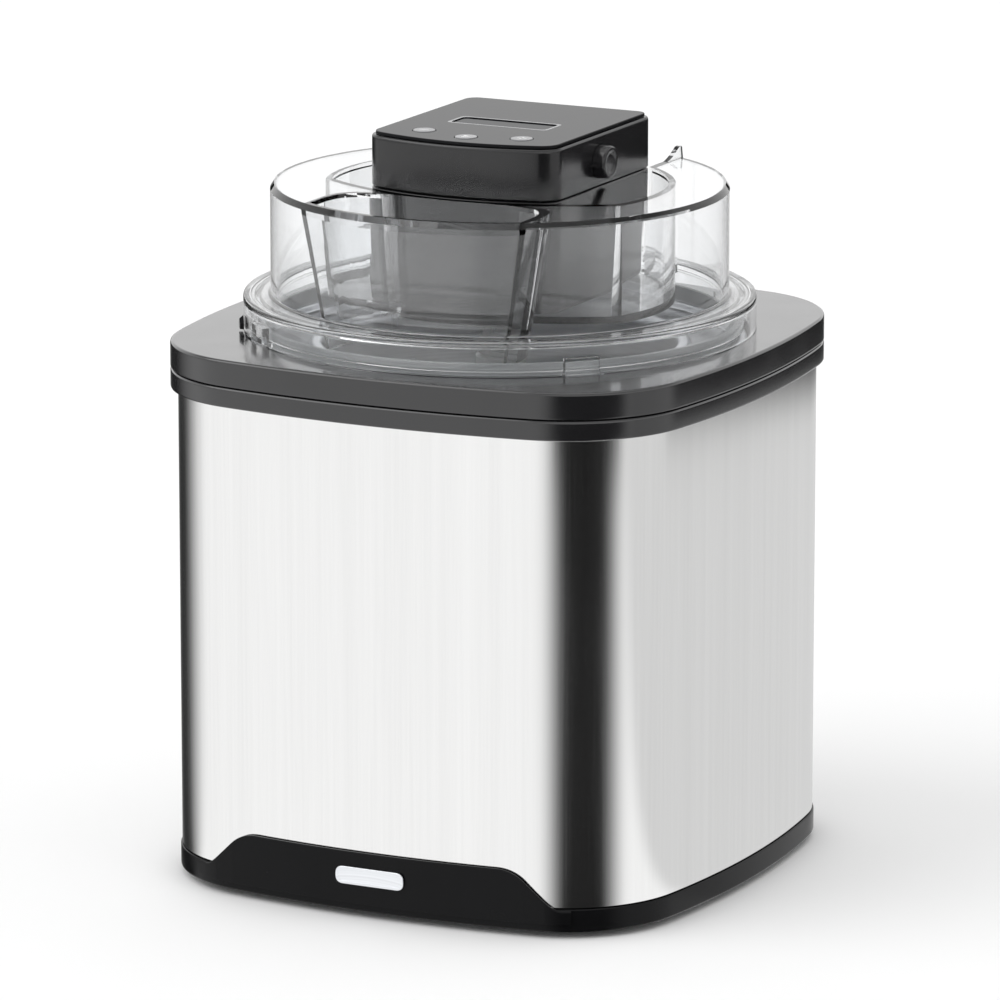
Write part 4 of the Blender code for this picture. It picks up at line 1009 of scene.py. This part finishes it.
def display_outline(inset, radius=2.4):
    half_x, half_y = DISPLAY_HALF[0] - inset, DISPLAY_HALF[1] - inset
    corners = [(half_x, half_y), (-half_x, half_y), (-half_x, -half_y), (half_x, -half_y)]
    return [(u + DISPLAY_CENTRE[0], v + DISPLAY_CENTRE[1]) for u, v in curve(corners, radius, steps=6)]


def build_keys():
    """Sprung keys with a sunk symbol each: minus, a start triangle, plus."""
    bar = rectangle(-2.0, -0.35, 2.0, 0.35)
    signs = {
        "key_less": [bar],
        "key_start": [[(-1.3, -1.9), (1.9, 0.0), (-1.3, 1.9)]],
        "key_more": [bar, [(v, u) for u, v in bar[::-1]]],
    }
    for key, place in KEYS.items():
        low, high = bottom(key), top(key)
        head = high - 0.9
        profile = [(1.9, low), (1.9, head), (4.4, head), (4.4, high), (3.2, high - 0.06)]
        cap = pin(f"{key}_cap", profile, place, [0, 0.1, 0.2, 0.35, 0.4], 4)
        show(cap, key)
        parts = []
        for number, sign in enumerate(signs[key]):
            outline = curve([(u + place[0], v + place[1]) for u, v in sign], 0.25)
            parts.append(plate(f"sign_{key}_{number}", outline, high - 0.15, high + 0.03, "XY"))
        show(merged(f"{key}_mark", parts), finish="mark_white", body=BODY_OF[key])


def build_buttons():
    """Thumb buttons with a dished end and a collar inside the cover's wall."""
    radius, collar = RELEASE_RADIUS, RELEASE_RADIUS + 1.6
    profile = (
        (-5.0, collar), (-2.9, collar), (-2.9, radius), (5.3, radius), (5.3, radius - 2.0), (4.6, radius - 3.4),
    )
    y, z = RELEASE
    for side, name in ((-1, "left"), (1, "right")):
        loops = []
        for out, r in profile:
            x = side * (UNIT_HALF + out)
            loops.append([(x, y + r * math.cos(a), z + r * math.sin(a)) for a in angles(SMALL, 0.0)])
        button = loft(f"thumb_button_{name}", loops, ease=[0, 0.3, 0.3, 1.3, 0.8, 0.8], steps=4)
        show(button, f"release_button_{name}", "unit_plastic")


def paint_the_rest():
    """Every CAD node still shown gets its slot's finish."""
    for name, obj in frame["nodes"].items():
        if obj.hide_render:
            continue
        obj.data.materials.clear()
        obj.data.materials.append(FINISH[SLOT_OF[name]])


# Stage


AZIMUTH, ELEVATION = 26.5, 13.0  # where the camera stands, in degrees


def bearing(degrees):
    """The horizontal direction this far round from the front, positive to the right."""
    return math.sin(math.radians(degrees)), -math.cos(math.radians(degrees))


class Floor(Nodes):
    """The floor's own nodes, worked out from where a point lies on it, in metres."""

    def __init__(self):
        super().__init__("floor")
        self.x, self.y, _ = self.add("ShaderNodeSeparateXYZ", {0: self.where}).outputs

    def step(self, value, start, end):
        inputs = {"Value": value, "From Min": start, "From Max": end}
        return self.add("ShaderNodeMapRange", inputs, interpolation_type="SMOOTHSTEP").outputs[0]

    def between(self, place, first, second, soft):
        """One inside the angle between two bearings seen from a place, fading over soft either side."""
        x, y = self.minus(self.x, place[0]), self.minus(self.y, place[1])
        length = self.math("MAXIMUM", self.length(x, y), 0.01)
        sides = []
        for line, sign in ((first, 1), (second, -1)):
            east, north = bearing(line)
            beside = self.plus(self.times(x, -north), self.times(y, east))
            share = self.math("DIVIDE", beside, length)
            sides.append(self.step(self.times(share, sign), -soft, soft))
        return self.times(*sides)


def behind_wall(side, first, second):
    """Where two reflections from a corner of the sleeve seem to start, and their bearings.

    A reflection at a wall that faces one bearing leaves along twice that, less the camera's own.
    """
    lines = []
    for facing in (first, second):
        east, north = bearing(facing)
        start = side + CORNER_RADIUS * MM * east, -abs(side) + CORNER_RADIUS * MM * north
        lines.append((start, 2 * facing - AZIMUTH))
    ((x1, y1), line1), ((x2, y2), line2) = lines
    (e1, n1), (e2, n2) = bearing(line1), bearing(line2)
    along = ((x2 - x1) * n2 - (y2 - y1) * e2) / (e1 * n2 - n1 * e2)
    return (x1 + along * e1, y1 + along * n1), line1, line2


# Painted reflections: zones of the floor that glow darker or brighter for glossy rays only, as if studio cards
# stood round the object. Each is the bearings that the zone reaches between and how soft its edge is. The first
# two are the bearings that the sleeve's wall faces where it shows the card; the others are seen from the middle.
NEAR_CORNER_PAINTED_CARD = (19.4, 49.0), 0.24
LEFT_CORNER_PAINTED_CARD = (-63.5, -33.5), 0.40
RIGHT_PAINTED_CARD = (77.0, 190.0), 0.10
REAR_PAINTED_CARD = (122.0, 190.0), 0.15
AHEAD_PAINTED_CARD = (18.0, 72.0), 0.12
DISTANT_PAINTED_WINDOW = (-50.0, -6.0), 0.16
DISTANT_PAINTED_STRIP = (54.0, 80.0), 0.08
OUT_FROM = 0.88, 1.05  # metres out, over which the ahead and rear painted cards begin
FAR_FROM = 3.3, 3.6  # metres out, over which the distant ones take over
BLACKEST = 0.01


def painted_card_reflections():
    """Painted reflections: the brightness that shiny pieces see in the floor, painted as if black and white cards
    stood round them.
    """
    n = Floor()

    def painted_card(row, place=(0.0, 0.0)):
        (first, second), soft = row
        return n.between(place, first, second, soft)

    def painted_corner_card(row, side):
        (first, second), soft = row
        return n.between(*behind_wall(side, first, second), soft)

    def darken(level, zone, depth):
        return n.minus(level, n.times(zone, depth))

    side = side_geometry()[1] * MM
    far = n.length(n.x, n.y)
    out = n.step(far, *OUT_FROM)
    level = darken(1.02, painted_card(RIGHT_PAINTED_CARD), 0.29)
    level = darken(level, n.times(out, painted_card(REAR_PAINTED_CARD)), 0.69)
    level = darken(level, n.times(out, painted_card(AHEAD_PAINTED_CARD)), 0.92)
    level = n.times(level, darken(1.0, painted_corner_card(NEAR_CORNER_PAINTED_CARD, side), 0.985))
    level = n.times(level, darken(1.0, painted_corner_card(LEFT_CORNER_PAINTED_CARD, -side), 0.97))
    # Painted reflections of a bright distant window and strip, far out on the floor.
    window, strip = n.times(painted_card(DISTANT_PAINTED_WINDOW), 0.60), n.times(painted_card(DISTANT_PAINTED_STRIP), 1.1)
    distant = n.plus(n.plus(window, strip), 0.03)
    level = n.blend(n.step(far, *FAR_FROM), level, distant)
    return n, n.math("MAXIMUM", level, BLACKEST)


FLOOR_HALF = 30000.0


def build_floor():
    """A wide pale floor. Glossy rays see a painted reflection instead: an emission patterned as if studio cards
    stood round the object.
    """
    n, level = painted_card_reflections()
    n.finish(Base_Color=n.mix(n.noise(3.0), grey(0.86), grey(0.88)), Roughness=0.9)
    # Painted reflection: an emission in the painted card pattern, which only glossy rays see.
    painted_card = n.add("ShaderNodeEmission", {"Strength": level})
    ray = n.add("ShaderNodeLightPath").outputs
    shiny = n.times(ray["Is Glossy Ray"], n.minus(1.0, ray["Is Transmission Ray"]))
    choice = n.add("ShaderNodeMixShader", {0: shiny, 1: n.shader.outputs[0], 2: painted_card.outputs[0]})
    n.set(n.tree.nodes["Material Output"], "Surface", choice.outputs[0])
    corners = rectangle(-FLOOR_HALF, -FLOOR_HALF, FLOOR_HALF, FLOOR_HALF)
    floor = mesh_object("floor", [(x, y, 0) for x, y in corners], [(0, 1, 2, 3)])
    floor.data.materials.append(n.material)


# What each kind of ray meets beyond the floor, from the horizon to overhead: (height, brightness).
REFLECTED = ((0.0, 1.1), (0.50, 1.1), (0.60, 0.50), (0.82, 0.50), (0.94, 1.1))
REFRACTED = ((0.0, 1.0), (0.45, 1.0), (0.55, 0.30), (0.82, 0.30), (0.94, 0.9))
DIFFUSE = 0.90
SEEN = 1.0
# Lamps: the direction each shines from, its spread in degrees and its power.
LAMPS = {"key": ((-2.6, -2.4, 3.0), 50.0, 0.95), "top": ((0.6, 0.4, 3.6), 70.0, 0.35)}


class World(Nodes):
    """The surround's nodes, worked out from how high a ray looks."""

    def __init__(self, name):
        world = bpy.data.worlds.new(name)
        bpy.context.scene.world = world
        world.use_nodes = True
        self.tree = world.node_tree
        self.shader = self.tree.nodes["Background"]
        self.where = self.add("ShaderNodeTexCoord").outputs["Generated"]
        self.height = self.add("ShaderNodeSeparateXYZ", {0: self.where}).outputs[2]

    def bands(self, stops):
        """Brightness by height, as a chain of straight runs between the stops."""
        level = stops[0][1]
        for (start, _), (end, after) in zip(stops, stops[1:]):
            inputs = {"Value": self.height, "From Min": start, "From Max": end, "To Max": after, "To Min": level}
            level = self.add("ShaderNodeMapRange", inputs).outputs[0]
        return level


def build_light():
    """A bright low surround, darker above it, and two broad lamps."""
    n = World("studio")
    ray = n.add("ShaderNodeLightPath").outputs
    level = n.blend(ray["Is Transmission Ray"], n.bands(REFLECTED), n.bands(REFRACTED))
    level = n.blend(ray["Is Diffuse Ray"], level, DIFFUSE)
    level = n.blend(ray["Is Camera Ray"], level, SEEN)
    n.set(n.shader, "Color", (1, 1, 1, 1))
    n.set(n.shader, "Strength", level)
    for name, (place, spread, power) in LAMPS.items():
        light = bpy.data.lights.new(name, "SUN")
        light.angle, light.energy = math.radians(spread), power
        in_scene(name, light).rotation_euler = aimed(Vector(place))


def aimed(away):
    """The turn of a lamp or camera that looks back along this direction."""
    return (-away).to_track_quat("-Z", "Y").to_euler()


SENSOR, LENS = 36.0, 268.8  # millimetres
NEAR_AIM, NEAR = Vector((0, 0, 0.146)), 3.0  # where the camera looks at rest, and from how far, in metres
FAR_AIM, FAR = Vector((0, 0, 0.4735)), 8.0  # the same with every piece lifted
UNIT_RISE = 0.655  # how far the motor unit lifts, in metres


def build_camera():
    """At rest the camera frames the assembled machine. As the motor unit lifts off, it backs away along the
    same line, so that the pieces one above another fill the frame as in the photograph."""
    level = math.cos(math.radians(ELEVATION))
    east, north = bearing(AZIMUTH)
    back = Vector((east * level, north * level, math.sin(math.radians(ELEVATION))))
    data = bpy.data.cameras.new("camera")
    data.sensor_width, data.lens, data.clip_end = SENSOR, LENS, 100.0
    camera = in_scene("camera", data)
    camera.location = NEAR_AIM + back * NEAR
    camera.rotation_euler = aimed(back)
    shift = FAR_AIM + back * FAR - camera.location
    follow = camera.constraints.new("TRANSFORM")
    follow.target = frame["bodies"]["motor_unit"]
    follow.map_from = follow.map_to = "LOCATION"
    follow.from_min_z, follow.from_max_z = 0.0, UNIT_RISE
    follow.map_to_x_from = follow.map_to_y_from = follow.map_to_z_from = "Z"
    follow.to_max_x, follow.to_max_y, follow.to_max_z = shift
    follow.mix_mode = "ADD"
    bpy.context.scene.camera = camera
    bpy.context.scene.view_settings.view_transform = "Standard"


build_sleeve()
build_rim()
build_liner()
build_base()
build_badge()
build_ring()
build_bowl()
build_paddle()
build_shaft()
build_lid()
build_seal()
build_unit()
build_panel()
build_keys()
build_buttons()
paint_the_rest()
build_floor()
build_light()
build_camera()
